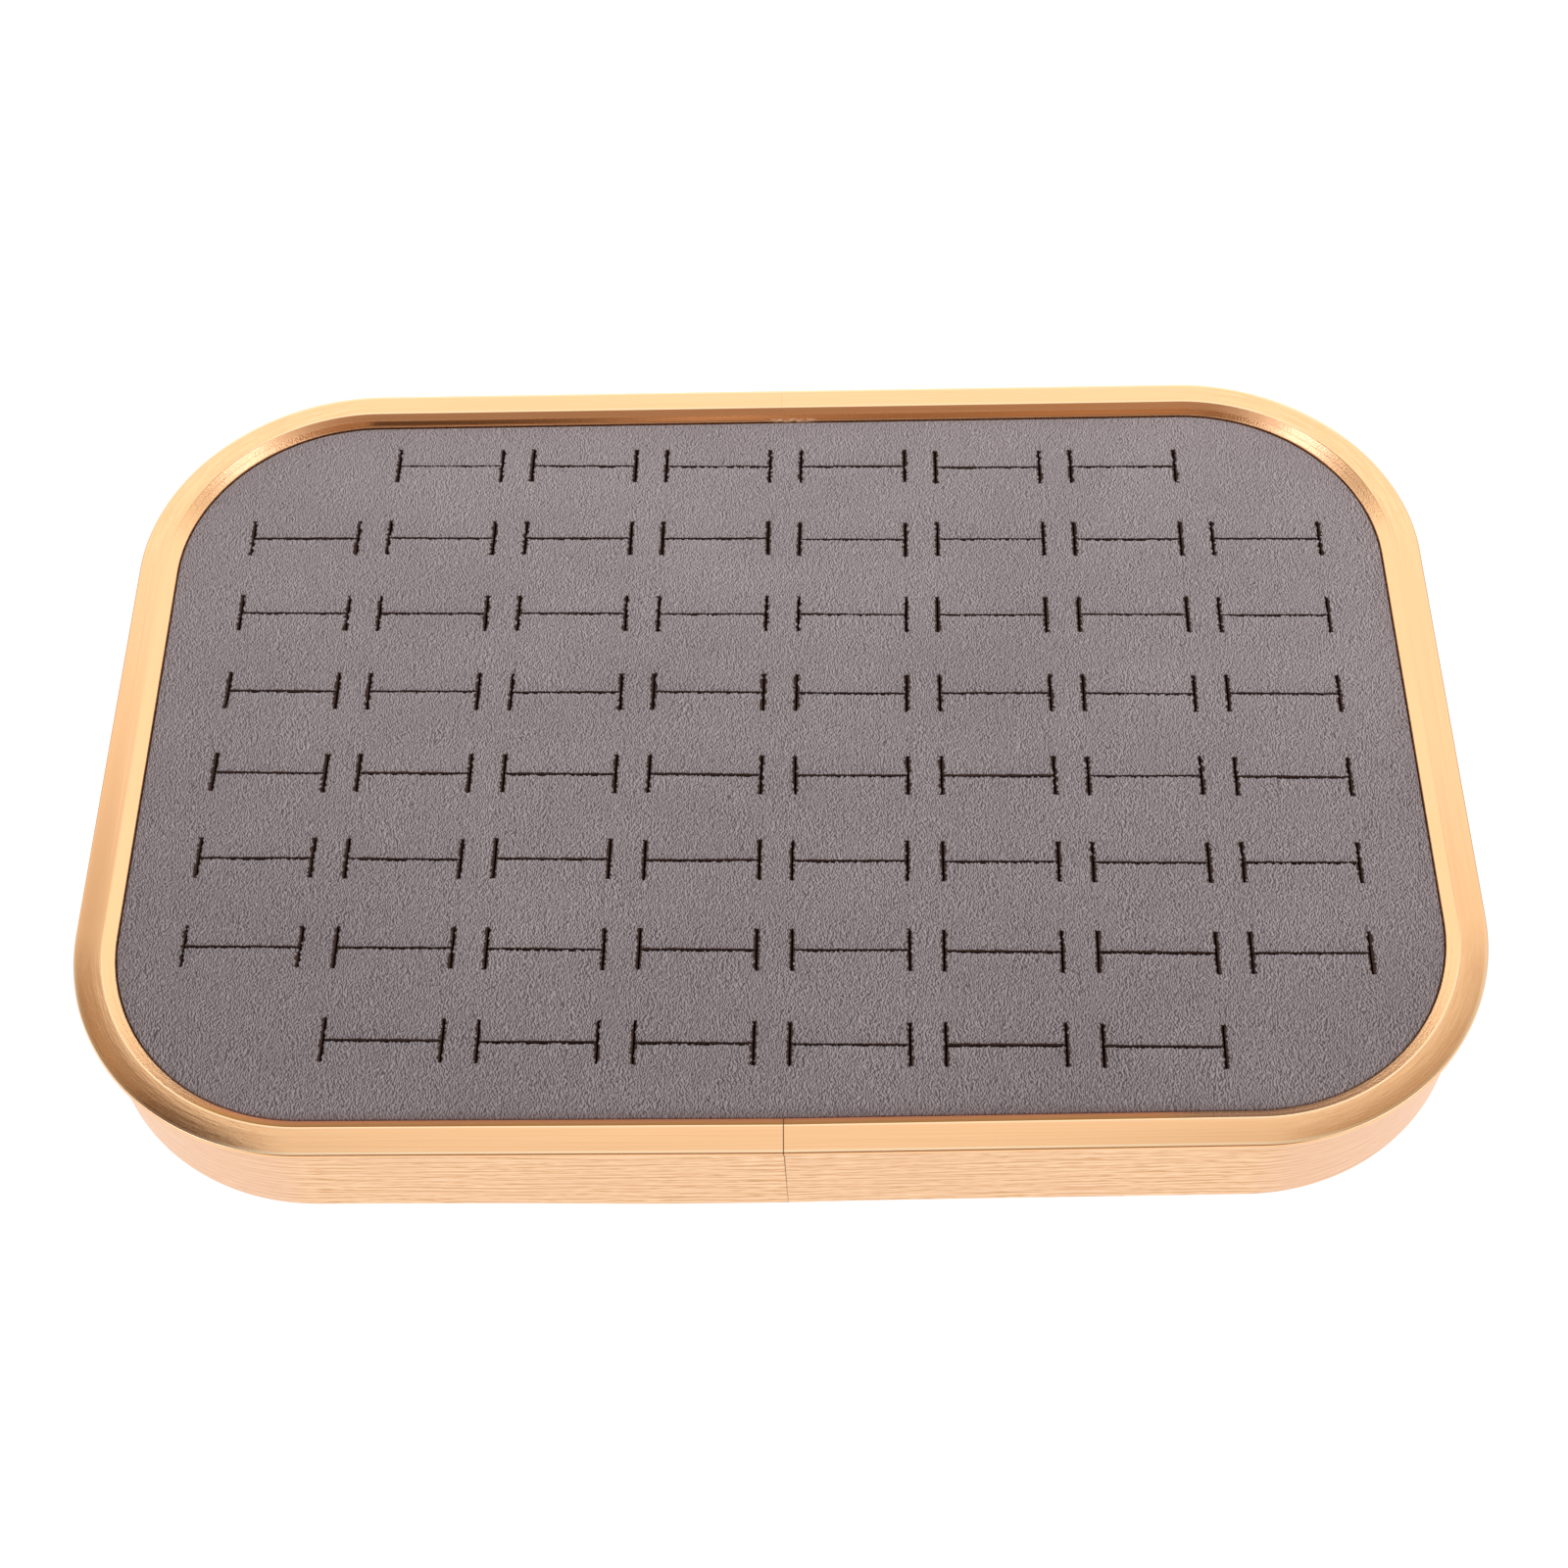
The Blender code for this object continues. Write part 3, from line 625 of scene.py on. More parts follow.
def section():
    """Cross-section with its small radii, as (outward, height, finish of the face that follows)."""
    cap, bevel, fascia, inner, edge = 0, 1, 2, 3, 4
    out = []

    def put(points, finish):
        out.extend((d, z, finish) for d, z in points)

    put(arc(0.35, 0.35, 0.35, 180, 270, 3), inner)
    put(arc(7.52, 0.30, 0.30, 270, 360, 5)[:-1], fascia)
    put([(7.82, 0.30), (7.82, 8.0), (7.82, 16.0), (7.82, 24.0), (7.82, 31.08), (7.87, 31.13)], fascia)
    put([(7.87, 31.13), (8.7, 31.13)], cap)
    put(arc(9.77, 31.43, 0.30, -90, 0, 5), cap)
    bead = arc(9.47, 31.779, 0.60, 0, 79.0, 12)
    put(bead[:9], cap)
    put(bead[9:], edge)
    crease = arc(3.0926, 32.5, 0.50, 90, 130.3, 8)
    steps = [crease[0][0] + (9.5845 - crease[0][0]) * i / 14 for i in range(13, 0, -1)]
    for d in steps[:-1]:                                # the top is level at its inner edge and falls outward
        put([(d, 33.0 - 0.0150 * (d - crease[0][0]) ** 2)], cap)
    put([(crease[0][0] + 0.22, 33.0)], edge)            # a lighter line along both of its edges, a painted highlight
    put(crease[:5], edge)
    put(crease[5:], bevel)
    for d, proud in ((2.2, 0.0), (1.48, 0.0), (1.44, 0.006), (1.40, 0.016), (1.36, 0.022), (1.32, 0.016),
                     (1.28, 0.006), (1.24, 0.0), (0.8, 0.0)):
        z = 33.0 - (2.909 - d) * 0.8487
        put([(d - 0.647 * proud, z + 0.762 * proud)], bevel)
    put(arc(0.9, 30.1146, 0.90, 130.3, 180, 9), bevel)
    put([(0.0, 29.2)], inner)
    put([(0.0, 16.0), (0.0, 2.85), (-0.15, 2.70), (-6.0, 2.70), (-11.85, 2.70), (-11.96, 2.66), (-12.0, 2.55),
         (-12.0, 1.65), (-11.96, 1.54), (-11.85, 1.50), (-6.0, 1.50), (-0.12, 1.50), (0.0, 1.38)], inner)
    clean = [out[0]]
    for p in out[1:]:
        if hypot(p[0] - clean[-1][0], p[1] - clean[-1][1]) > 1e-4:
            clean.append(p)
    return clean


CHAMBER = [(1.1, 1.2), (1.1, 29.5), (3.5, 31.5), (6.72, 31.5), (6.72, 1.2)]


def half_stations(side):
    """Stations of one half from its front joint to its back joint: (x, y, outward x, outward y, length)."""
    a, b, r, corner = OPEN_HALF_X, OPEN_HALF_Y, OPEN_R, 44
    start = side * SEAM_X + JOINT_GAP / 2
    out, run = [], 0.0

    def line(x0, y0, x1, y1, nx, ny):
        nonlocal run
        length = hypot(x1 - x0, y1 - y0)
        count = ceil(length / 9.0)
        for i in range(count):
            f = i / count
            out.append((x0 + (x1 - x0) * f, y0 + (y1 - y0) * f, nx, ny, run + length * f))
        run += length

    def bend(cx, cy, first):
        nonlocal run
        for i in range(corner):
            t = radians(first + 90.0 * i / corner)
            out.append((cx + r * cos(t), cy + r * sin(t), cos(t), sin(t), run + (r + 5) * radians(90.0) * i / corner))
        run += (r + 5) * radians(90.0)

    line(start, -b, a - r, -b, 0, -1)
    bend(a - r, r - b, -90)
    line(a, r - b, a, b - r, 1, 0)
    bend(a - r, b - r, 0)
    line(a - r, b, start, b, 0, 1)
    out.append((start, b, 0, 1, run))
    if side < 0:
        out = [(-x, -y, -nx, -ny, s) for x, y, nx, ny, s in out]
    return out


def frame_half(side, name, replaced):
    profile = section()
    lengths = [0.0]
    for p, q in zip(profile, profile[1:] + profile[:1]):
        lengths.append(lengths[-1] + hypot(q[0] - p[0], q[1] - p[1]))
    stations = half_stations(side)
    b = Builder()
    offset = 0.0 if side > 0 else 1.7

    def sweep(points):
        rings = []
        for k, (x, y, nx, ny, _) in enumerate(stations):
            ring = []
            for d, z in points:
                low = max(0.0, 1.0 - z / 31.0) if d > 6.0 else 0.0
                shift = 0.0
                if k in (0, len(stations) - 1):            # the joint: a hairline, which leans on the front face
                    gap = 0.03
                    shift = side * (gap - JOINT_GAP) / 2
                lean = (0.5 * low * exp(-((x - SEAM_X) / 6.0) ** 2)) if ny < 0 else 0.0
                bow = max(0.0, -ny) ** 2 * low * (0.10 + 0.42 * exp(-((x + 27.0) / 35.0) ** 2))
                ring.append(lifted(*toe_out(x + shift + lean + nx * (d + bow), y + ny * (d + bow)), z))
            rings.append(b.add(ring))
        return rings

    outer = sweep([(d, z) for d, z, _ in profile])
    inner = sweep(CHAMBER)
    for (ring, after), (s0, s1) in zip(zip(outer, outer[1:]), zip(stations, stations[1:])):
        for i in range(len(profile)):
            j = (i + 1) % len(profile)
            u0, u1 = s0[4] * M + offset, s1[4] * M + offset
            v0, v1 = lengths[i] * M, lengths[i + 1] * M
            b.face((ring[i], after[i], after[j], ring[j]), profile[i][2], [(u0, v0), (u1, v0), (u1, v1), (u0, v1)])
    for ring, after in zip(inner, inner[1:]):
        for i in range(len(CHAMBER)):
            j = (i + 1) % len(CHAMBER)
            b.face((ring[i], after[i], after[j], ring[j]), 3)
    for ring, hole in ((outer[0], inner[0]), (outer[-1], inner[-1])):
        loops = [[Vector((d, z, 0.0)) for d, z, _ in profile], [Vector((d, z, 0.0)) for d, z in CHAMBER]]
        names = ring + hole
        for tri in tessellate_polygon(loops):
            b.face([names[k] for k in tri], 3)
    ob = piece(name, b.mesh(name, [GOLD_CAP, GOLD_BEVEL, GOLD_FASCIA, GOLD_INNER, GOLD_EDGE_HIGHLIGHT], uv_name="sweep"),
               "tray", "anodised_gold", replaced)

    hole = prism([(cos(2 * pi * i / 32) * (SET_R + 0.3), sin(2 * pi * i / 32) * (SET_R + 0.3)) for i in range(32)], 0.0, 3.4)
    spots = []
    for front in (-1, 1):
        turn = Matrix.Rotation(radians(90.0 * -front), 4, "X")
        for x in SET_X:
            if x * side > 0:
                px, py = toe_out(SEAM_X + x, front * (OPEN_HALF_Y - 1.2))
                spots.append(Matrix.Translation(lifted(px, py, SET_Z)) @ turn)
    carve(ob, merged("access", hole, spots))
    shank = lathe([(0.0, (FLANGE_T + 1.0) * M), (1.55 * M, (FLANGE_T + 1.0) * M), (1.55 * M, 0.0 * M),
                   (1.55 * M, 1.1 * M), (1.55 * M, -1.0 * M), (0.0, -1.0 * M)][:3] + [(1.55 * M, -1.0 * M), (0.0, -1.0 * M)], 32)
    sink = lathe([(0.0, 1.1 * M), (1.5502 * M, 1.1 * M), (3.0 * M, 0.0), (3.0 * M, -1.0 * M), (0.0, -1.0 * M)], 32)
    mine = [Matrix.Translation(lifted(*toe_out(x, y), FLANGE_Z)) for x, y in FLANGE_SPOTS if x * side > 0]
    carve(ob, merged("shanks", shank, mine))
    carve(ob, merged("sinks", sink, mine))
    shaded(ob.data, 32.0)
    mod = ob.modifiers.new("even_normals", "WEIGHTED_NORMAL")
    mod.keep_sharp = True
    mod.weight = 50
    return ob


LEFT = frame_half(-1, "left_frame_half", "frame_half_left")
RIGHT = frame_half(1, "right_frame_half", "frame_half_right")


# ==== velvet, foam and board of the ring pad ====================================
rng = np.random.RandomState(20)


def slot_list():
    """Each slit's centre, turn and widths, with the small scatter of hand-set cuts."""
    out = []
    for row, count in enumerate(ROWS):
        y = ((len(ROWS) - 1) / 2 - row) * ROW_PITCH
        for column in range(count):
            x = (column - (count - 1) / 2) * COL_PITCH
            out.append({
                "x": x + rng.normal(0, 0.10), "y": y + rng.normal(0, 0.10), "turn": radians(rng.normal(0, 0.22)),
                "wide": float(np.clip(rng.normal(1.00 + 0.07 * row, 0.20), 0.60, 1.8)), "ends": float(np.clip(rng.normal(1.0, 0.10), 0.82, 1.25)),
                "seed": len(out)})
    return out


SLOTS = slot_list()


def slot_place(slot, px, py):
    c, s = cos(slot["turn"]), sin(slot["turn"])
    qx, qy = slot["x"] + c * px - s * py, slot["y"] + s * px + c * py
    c, s = cos(GRID_SKEW), sin(GRID_SKEW)
    return GRID_X + c * qx - s * qy, GRID_Y + s * qx + c * qy


def slot_local(slot, x, y):
    c, s = cos(-GRID_SKEW), sin(-GRID_SKEW)
    qx, qy = c * (x - GRID_X) - s * (y - GRID_Y), s * (x - GRID_X) + c * (y - GRID_Y)
    qx, qy = qx - slot["x"], qy - slot["y"]
    c, s = cos(-slot["turn"]), sin(-slot["turn"])
    return c * qx - s * qy, s * qx + c * qy


def in_slot(slot, x, y, w, e, h):
    lx, ly = slot_local(slot, x, y)
    s = SLOT_L / 2
    return (abs(lx) < s + e / 2 and abs(ly) < w / 2) or (abs(abs(lx) - s) < e / 2 and abs(ly) < h)


def h_points(w, e, h, counts, push=None):
    """Points round an H-shaped outline; push(segment, share, running length) moves one outward."""
    s = SLOT_L / 2
    shape = [(-s - e / 2, -h), (-s + e / 2, -h), (-s + e / 2, -w / 2), (s - e / 2, -w / 2), (s - e / 2, -h),
             (s + e / 2, -h), (s + e / 2, h), (s - e / 2, h), (s - e / 2, w / 2), (-s + e / 2, w / 2),
             (-s + e / 2, h), (-s - e / 2, h)]
    out, run = [], 0.0
    for k, count in enumerate(counts):
        (x0, y0), (x1, y1) = shape[k], shape[(k + 1) % 12]
        length = hypot(x1 - x0, y1 - y0)
        nx, ny = (y1 - y0) / length, -(x1 - x0) / length
        for i in range(count):
            f = i / count
            x, y = x0 + (x1 - x0) * f, y0 + (y1 - y0) * f
            if push:
                p = push(k, f, run + length * f)
                x, y = x + nx * p, y + ny * p
            out.append((x, y))
        run += length
    return out


FINE = (4, 20, 104, 20, 4, 42, 4, 20, 104, 20, 4, 42)
LOW_W, LOW_END = 0.34, 0.42            # the cuts are narrower at the underside of the cloth
COARSE = (1, 2, 6, 2, 1, 3, 1, 2, 6, 2, 1, 3)


def ragged(slot):
    """Outward shift of the cut edge: slow wander, short teeth, and here and there a torn patch."""
    random = np.random.RandomState(1000 + slot["seed"])
    teeth = random.normal(0, 1.0, 400)
    fray = random.uniform(0.5, 1.5)
    count = [0]

    def push(k, f, run):
        count[0] += 1
        tooth = teeth[count[0] % 400]
        slow = wobble(run * 0.45, slot["seed"] * 3.7, 0.3)
        if k == 2:                                       # the front edge of the long slit frays most
            base = (slot["wide"] - 1.0) * SLOT_W * 0.5
            tufts = max(0.0, wobble(run * 1.30, slot["seed"] * 2.3, 8.0) - 0.04)
            torn = 2.4 * max(0.0, wobble(run * 0.17, slot["seed"] * 1.9, 5.0) - 0.04)
            fringe = 1.60 * max(0.0, wobble(run * 2.30, slot["seed"] * 5.3, 11.0) - 0.02)
            return min(0.62, max(-SLOT_W * 0.5 + 0.03, base + 0.02 + 0.05 * slow + 0.080 * tooth + fringe
                                 + fray * tufts * (1.00 + 2.6 * torn) + 0.12 * torn))
        if k == 8:
            return max(-SLOT_W * 0.5 + 0.04, (slot["wide"] - 1.0) * SLOT_W * 0.3 - 0.04 + 0.16 * slow + 0.070 * tooth)
        if k in (0, 4, 6, 10):
            return 0.12 * tooth + 0.05
        zigzag = wobble(run * 1.25, slot["seed"] * 4.1, 2.0 + k)
        return max(-0.28, min(0.60, (slot["ends"] - 1.0) * END_W * 0.5 + 0.27 + 0.06 * slow + 0.72 * zigzag + 0.130 * tooth))

    return push


def cover_with_slits(border, rings, slot_size, spacing, clear):
    """Triangles between an outer border and the slit rings (2D, mm): (points, faces, ring index lists)."""
    points, edges, owner = [], [], []

    def loop(items, who):
        start = len(points)
        points.extend(items)
        owner.extend([who] * len(items))
        n = len(items)
        edges.extend((start + i, start + (i + 1) % n) for i in range(n))
        return list(range(start, start + n))

    border_ids = loop(border, -1)
    ring_ids = [loop(ring, k) for k, ring in enumerate(rings)]
    if spacing:
        random = np.random.RandomState(5)
        w, e, h = slot_size
        nx, ny = int(2 * OPEN_HALF_X / spacing), int(2 * OPEN_HALF_Y / spacing)
        a, b, r = OPEN_HALF_X - 3.5, OPEN_HALF_Y - 3.5, OPEN_R - 3.5
        for i in range(nx + 1):
            for j in range(ny + 1):
                x = -OPEN_HALF_X + (i + 0.5 * (j % 2)) * spacing + random.uniform(-0.15, 0.15) * spacing
                y = -OPEN_HALF_Y + j * spacing + random.uniform(-0.15, 0.15) * spacing
                dx, dy = max(0.0, abs(x) - (a - r)), max(0.0, abs(y) - (b - r))
                if abs(x) > a or abs(y) > b or hypot(dx, dy) > r:
                    continue
                near = False
                for slot in SLOTS:
                    if abs(slot["x"] - x) < 24 and abs(slot["y"] - y) < 12 and in_slot(
                            slot, x, y, w + 2 * clear, e + 2 * clear, h + clear):
                        near = True
                        break
                if not near:
                    points.append((x, y))
                    owner.append(-2)
    made = delaunay_2d_cdt([Vector(p) for p in points], edges, [], 0, 1e-6)
    verts, faces, origin = made[0], made[2], made[3]
    if len(verts) != len(points):
        raise ValueError("the slit rings cross: %d points became %d" % (len(points), len(verts)))
    back_to = [o[0] for o in origin]
    kept = []
    w, e, h = slot_size
    for face in faces:
        ids = [back_to[k] for k in face]
        who = {owner[k] for k in ids}
        if len(who) == 1:
            k = who.pop()
            if k >= 0:
                cx = sum(points[q][0] for q in ids) / 3
                cy = sum(points[q][1] for q in ids) / 3
                if in_slot(SLOTS[k], cx, cy, w, e, h):
                    continue
        kept.append(ids)
    return points, kept, border_ids, ring_ids


LIP = 0.68                 # width of the rolled lip round each slit
EDGE_R = 0.50              # the velvet turns over the pad's edge with this radius


def pad_height(x, y):
    """Slight unevenness of velvet over foam."""
    return 0.05 * wobble(x * 0.06, y * 0.06, 1.0) + 0.03 * wobble(x * 0.2, y * 0.2, 4.0)


def velvet_cover():
    b = Builder()
    outer_d = -0.20

    def inset(i):
        """The pad stands a little further from the frame at the back than at its sides."""
        ny = RIM[i][3]
        return -0.24 * max(0.0, ny) ** 2 - 0.08 * max(0.0, -ny) ** 2

    border = [(bx + nx * (outer_d - EDGE_R + inset(i)), by + ny * (outer_d - EDGE_R + inset(i)))
              for i, (bx, by, nx, ny, _, _) in enumerate(RIM)]
    w0, e0, h0 = SLOT_W + 2 * LIP, END_W + 2 * LIP, END_HALF + LIP
    rings = [[slot_place(s, *p) for p in h_points(w0, e0, h0, FINE)] for s in SLOTS]
    points, faces, border_ids, ring_ids = cover_with_slits(border, rings, (w0, e0, h0), 2.6, 1.1)
    top_points = []
    in_border = set(border_ids)
    for k, (x, y) in enumerate(points):
        px, py = toe_out(x, y) if k in in_border else (x, y)
        edge = min(OPEN_HALF_X - abs(x), OPEN_HALF_Y - abs(y))
        z = PAD_Z + pad_height(x, y) * min(1.0, max(0.0, (edge - 1.4) / 6.0))
        top_points.append(lifted(px, py, z))
    top = b.add(top_points)
    for ids in faces:
        b.face([top[k] for k in ids], 0)
    # lips: the pile rolls down into each cut, and the cut edge of the cloth goes on down
    bottoms = []
    for slot, ring in zip(SLOTS, ring_ids):
        edge = h_points(SLOT_W, END_W, END_HALF, FINE, ragged(slot))
        random = np.random.RandomState(3000 + slot["seed"])
        lip = []
        for (x, y), sink in zip(edge, random.uniform(0.10, 0.26, len(edge))):
            px, py = slot_place(slot, x, y)
            lip.append(lifted(px, py, PAD_Z + pad_height(px, py) - sink))
        lip = b.add(lip)
        low = b.add([lifted(*slot_place(slot, x, y), PAD_Z - SKIN_T) for x, y in h_points(LOW_W, LOW_END, END_HALF, FINE)])
        start = [top[k] for k in ring]
        b.bridge(start, lip, 0)
        b.bridge(lip, low, 1)
        bottoms.append(low)
    # over the edge, down the side, and under as a hem with pleats at the corners
    last = [top[k] for k in border_ids]

    def go(d, z, jitter=None, mat=0):
        nonlocal last
        ring = b.add(rim_ring(d, z, jitter))
        b.bridge(last, ring, mat)
        last = ring

    for i in range(1, 6):
        t = radians(90.0 * i / 5)
        go(outer_d - EDGE_R + EDGE_R * sin(t), PAD_Z - EDGE_R + EDGE_R * cos(t),
           lambda i, t=t: (inset(i) + 0.07 * sin(t) * wobble(RIM[i][0] * 0.8, RIM[i][1] * 0.8, 3.0), 0.0))
    for z, size in ((27.0, 0.04), (23.0, 0.08), (18.0, 0.09), (13.0, 0.08)):
        go(outer_d - 0.05, z, lambda i, size=size: (inset(i) + size * wobble(RIM[i][0] * 0.09, RIM[i][1] * 0.09, z * 0.1), 0.0))
    for i in range(0, 5):
        t = radians(90.0 * i / 4)
        go(outer_d - 0.8 + 0.8 * cos(t), PAD_BOTTOM + 0.6 - 0.6 * sin(t), lambda i: (inset(i), 0.0))

    def pleat(i, depth):
        _, _, _, _, bend, angle = RIM[i]
        fold = abs(sin(radians(angle % 90.0) * 9.0))
        return -depth * bend * (fold ** 0.7) if bend > 0 else 0.0

    def rough_edge(i):
        return 0.45 * wobble(RIM[i][0] * 0.13, RIM[i][1] * 0.13, 7.0) + 0.12 * wobble(RIM[i][0] * 0.9, RIM[i][1] * 0.9, 2.0)

    hem_in = outer_d - HEM_W
    for d in (-3.5, -6.5, -9.5):
        go(d, PAD_BOTTOM, lambda i, d=d: (0.0, pleat(i, 0.2 * min(1.0, (-d - 1.0) / 4))))
    go(hem_in + 0.12, PAD_BOTTOM, lambda i: (rough_edge(i), pleat(i, 0.2)))
    go(hem_in, PAD_BOTTOM + 0.30, lambda i: (rough_edge(i), pleat(i, 0.15)))
    go(hem_in + 0.12, PAD_BOTTOM + HEM_T, lambda i: (rough_edge(i), pleat(i, 0.15)), 1)
    for d in (-9.0, -4.5, outer_d - SKIN_T - 0.3):
        go(d, PAD_BOTTOM + HEM_T, None, 1)
    for d, z in ((outer_d - SKIN_T, PAD_BOTTOM + HEM_T + 0.3), (outer_d - SKIN_T, 18.0), (outer_d - SKIN_T, PAD_Z - SKIN_T - 0.3)):
        go(d, z, None, 1)
    under_border = [(bx + nx * (outer_d - SKIN_T - 0.3), by + ny * (outer_d - SKIN_T - 0.3)) for bx, by, nx, ny, _, _ in RIM]
    under_rings = [[slot_place(s, *p) for p in h_points(LOW_W, LOW_END, END_HALF, FINE)] for s in SLOTS]
    points, faces, border_ids, ring_ids = cover_with_slits(under_border, under_rings, (LOW_W, LOW_END, END_HALF), 0, 0)
    lookup = {}
    ring = b.add([lifted(*toe_out(*points[k]), PAD_Z - SKIN_T) for k in border_ids])
    b.bridge(last, ring, 1)
    lookup.update(zip(border_ids, ring))
    for ids, low in zip(ring_ids, bottoms):
        lookup.update(zip(ids, low))
    for ids in faces:
        b.face([lookup[k] for k in ids], 1)
    return shaded(b.mesh("velvet", [VELVET, SLIT_WALL]), 60.0)


velvet_piece = piece("velvet_cloth", velvet_cover(), "ring_insert", "velvet", "velvet_cover")


def foam_core():
    b = Builder()
    core_d = -SIDE_GAP - SKIN_T - 0.3
    border = [(bx + nx * core_d, by + ny * core_d) for bx, by, nx, ny, _, _ in RIM]
    rings = [[slot_place(s, *p) for p in h_points(SLOT_W, END_W, END_HALF, COARSE)] for s in SLOTS]
    points, faces, border_ids, ring_ids = cover_with_slits(border, rings, (SLOT_W, END_W, END_HALF), 0, 0)
    in_border = set(border_ids)
    layers = []
    for z in (FOAM_TOP, FOAM_Z):
        layer = b.add([lifted(*(toe_out(x, y) if k in in_border else (x, y)), z) for k, (x, y) in enumerate(points)])
        for ids in faces:
            b.face([layer[k] for k in ids])
        layers.append(layer)
    high, low = layers
    for ids in ring_ids:
        b.bridge([high[k] for k in ids], [low[k] for k in ids])
    rings = [[high[k] for k in border_ids]]
    for z, size in ((27.9, 0.0), (22.0, 0.12), (16.0, 0.12), (12.4, 0.0)):
        rings.append(b.add(rim_ring(core_d, z, lambda i, size=size, z=z: (
            size * wobble(RIM[i][0] * 0.3, RIM[i][1] * 0.3, z) - (0.0 if size else 0.0), 0.0))))
    rings.append([low[k] for k in border_ids])
    for upper, lower in zip(rings, rings[1:]):
        b.bridge(upper, lower)
    return shaded(b.mesh("foam", [FOAM]), 40.0)


foam_piece = piece("foam_core", foam_core(), "ring_insert", "foam", "ring_foam")


def slab(name, d, z0, z1, mat, edge=0.25, wave=0.0, scale=0.1):
    """Rounded-rectangle board or cloth with softened edges; wave is the unevenness of its outline."""
    b = Builder()
    inward = [d - edge, d - edge * 0.3, d, d, d - edge * 0.3, d - edge]
    heights = [z1, z1 - edge * 0.3, z1 - edge, z0 + edge, z0 + edge * 0.3, z0]

    def out(i):
        return wave * wobble(RIM[i][0] * scale, RIM[i][1] * scale, 3.0), 0.0

    rings = [b.add(rim_ring(dd, z, out if wave else None)) for dd, z in zip(inward, heights)]
    for upper, lower in zip(rings, rings[1:]):
        b.bridge(upper, lower)
    for ring, z in ((rings[0], z1), (rings[-1], z0)):
        inner = b.add(rim_ring(d - 18.0, z))
        b.bridge(ring, inner)
        inner_2 = b.add(rim_ring(d - 34.0, z))
        b.bridge(inner, inner_2)
        b.face(inner_2)
    return shaded(b.mesh(name, [mat]), 50.0)


card_piece = piece("card_base", slab("card", -SIDE_GAP - SKIN_T - 0.3, CARD_Z, CARD_Z + CARD_T, CARD),
                   "ring_insert", "card", "insert_board")
board_piece = piece("fibreboard_floor", slab("board", -SIDE_GAP, BOARD_Z, BOARD_TOP, FIBREBOARD, 0.2),
                    "tray", "fibreboard", "base_board")
pilot = prism([(1.55 * cos(2 * pi * i / 24), 1.55 * sin(2 * pi * i / 24)) for i in range(24)], -1.0, 4.2)
carve(board_piece, merged("pilots", pilot, [Matrix.Translation(lifted(*toe_out(x, y), BOARD_Z)) for x, y in FLANGE_SPOTS]))
shaded(board_piece.data, 50.0)

felt_piece = piece("felt_sheet", slab("felt", -FLANGE_IN - 0.6, BOARD_Z - 1.3, BOARD_Z - 0.3, FELT, 0.35, 0.15, 0.25),
                   "tray", "felt", "underside_felt")

# ==== screws and feet ===========================================================
cross = [(0.35, 1.5), (0.35, 0.35), (1.5, 0.35), (1.5, -0.35), (0.35, -0.35), (0.35, -1.5),
         (-0.35, -1.5), (-0.35, -0.35), (-1.5, -0.35), (-1.5, 0.35), (-0.35, 0.35), (-0.35, 1.5)]


def threaded(length, core, crest, z0, z1, pitch):
    """Profile of ridges between two heights, top to bottom."""
    out, z = [], z1
    while z - pitch > z0:
        out += [(core, z), (core, z - pitch * 0.35), (crest, z - pitch * 0.62), (crest, z - pitch * 0.72)]
        z -= pitch
    out.append((core, z))
    return out


def carved_mesh(mesh, tool, mat, angle=30.0):
    ob = bpy.data.objects.new("carving", mesh)
    scene.collection.objects.link(ob)
    carve(ob, tool)
    out = ob.data
    bpy.data.objects.remove(ob, do_unlink=True)
    out.materials.clear()
    out.materials.append(mat)
    return shaded(out, angle)


wood_screw = [(0.0, 4.9), (0.55, 4.65)] + threaded(0, 0.85, 1.25, 1.35, 4.5, 0.62) + \
             [(1.05, 1.05), (2.42, 0.16), (2.5, 0.10), (2.5, 0.03), (2.44, 0.0), (0.0, 0.0)]
wood_screw = lathe([(r * M, z * M) for r, z in wood_screw], 40)
recess = prism([(x * cos(0.227) - y * sin(0.227), x * sin(0.227) + y * cos(0.227)) for x, y in cross], -1.0, 0.7)
wood_screw = carved_mesh(wood_screw, recess, ZINC_STEEL)
for number, (x, y) in enumerate(FLANGE_SPOTS, 1):
    one = piece("wood_screw_%02d" % number, wood_screw.copy(), "tray", "zinc_steel", "base_screw_%02d" % number)
    one.data.transform(Matrix.Translation(lifted(*toe_out(x, y), FLANGE_Z + 0.1)) @ Matrix.Rotation(0.37 * number, 4, "Z"))

set_screw = [(0.0, SET_LEN), (0.95, SET_LEN)] + threaded(0, 1.22, 1.5, 0.25, SET_LEN - 0.45, 0.5) + \
            [(1.3, 0.12), (1.18, 0.0), (0.0, 0.0)]
set_screw = lathe([(r * M, z * M) for r, z in set_screw], 36)
socket = prism([(0.87 * cos(pi * i / 3 + 0.14), 0.87 * sin(pi * i / 3 + 0.14)) for i in range(6)], -1.0, 1.5)
set_screw = carved_mesh(set_screw, socket, BLACK_STEEL)
for front, label in ((-1, "front"), (1, "back")):
    turn = Matrix.Rotation(radians(90.0 * -front), 4, "X")
    for number, x in enumerate(SET_X, 1):
        one = piece("grub_screw_%s_%d" % (label, number), set_screw.copy(), "tray", "black_steel",
                    "splice_screw_%s_%d" % (label, number))
        px, py = toe_out(SEAM_X + x, front * (OPEN_HALF_Y + 0.4))
        one.data.transform(Matrix.Translation(lifted(px, py, SET_Z)) @ turn @ Matrix.Rotation(0.5 * number, 4, "Z"))

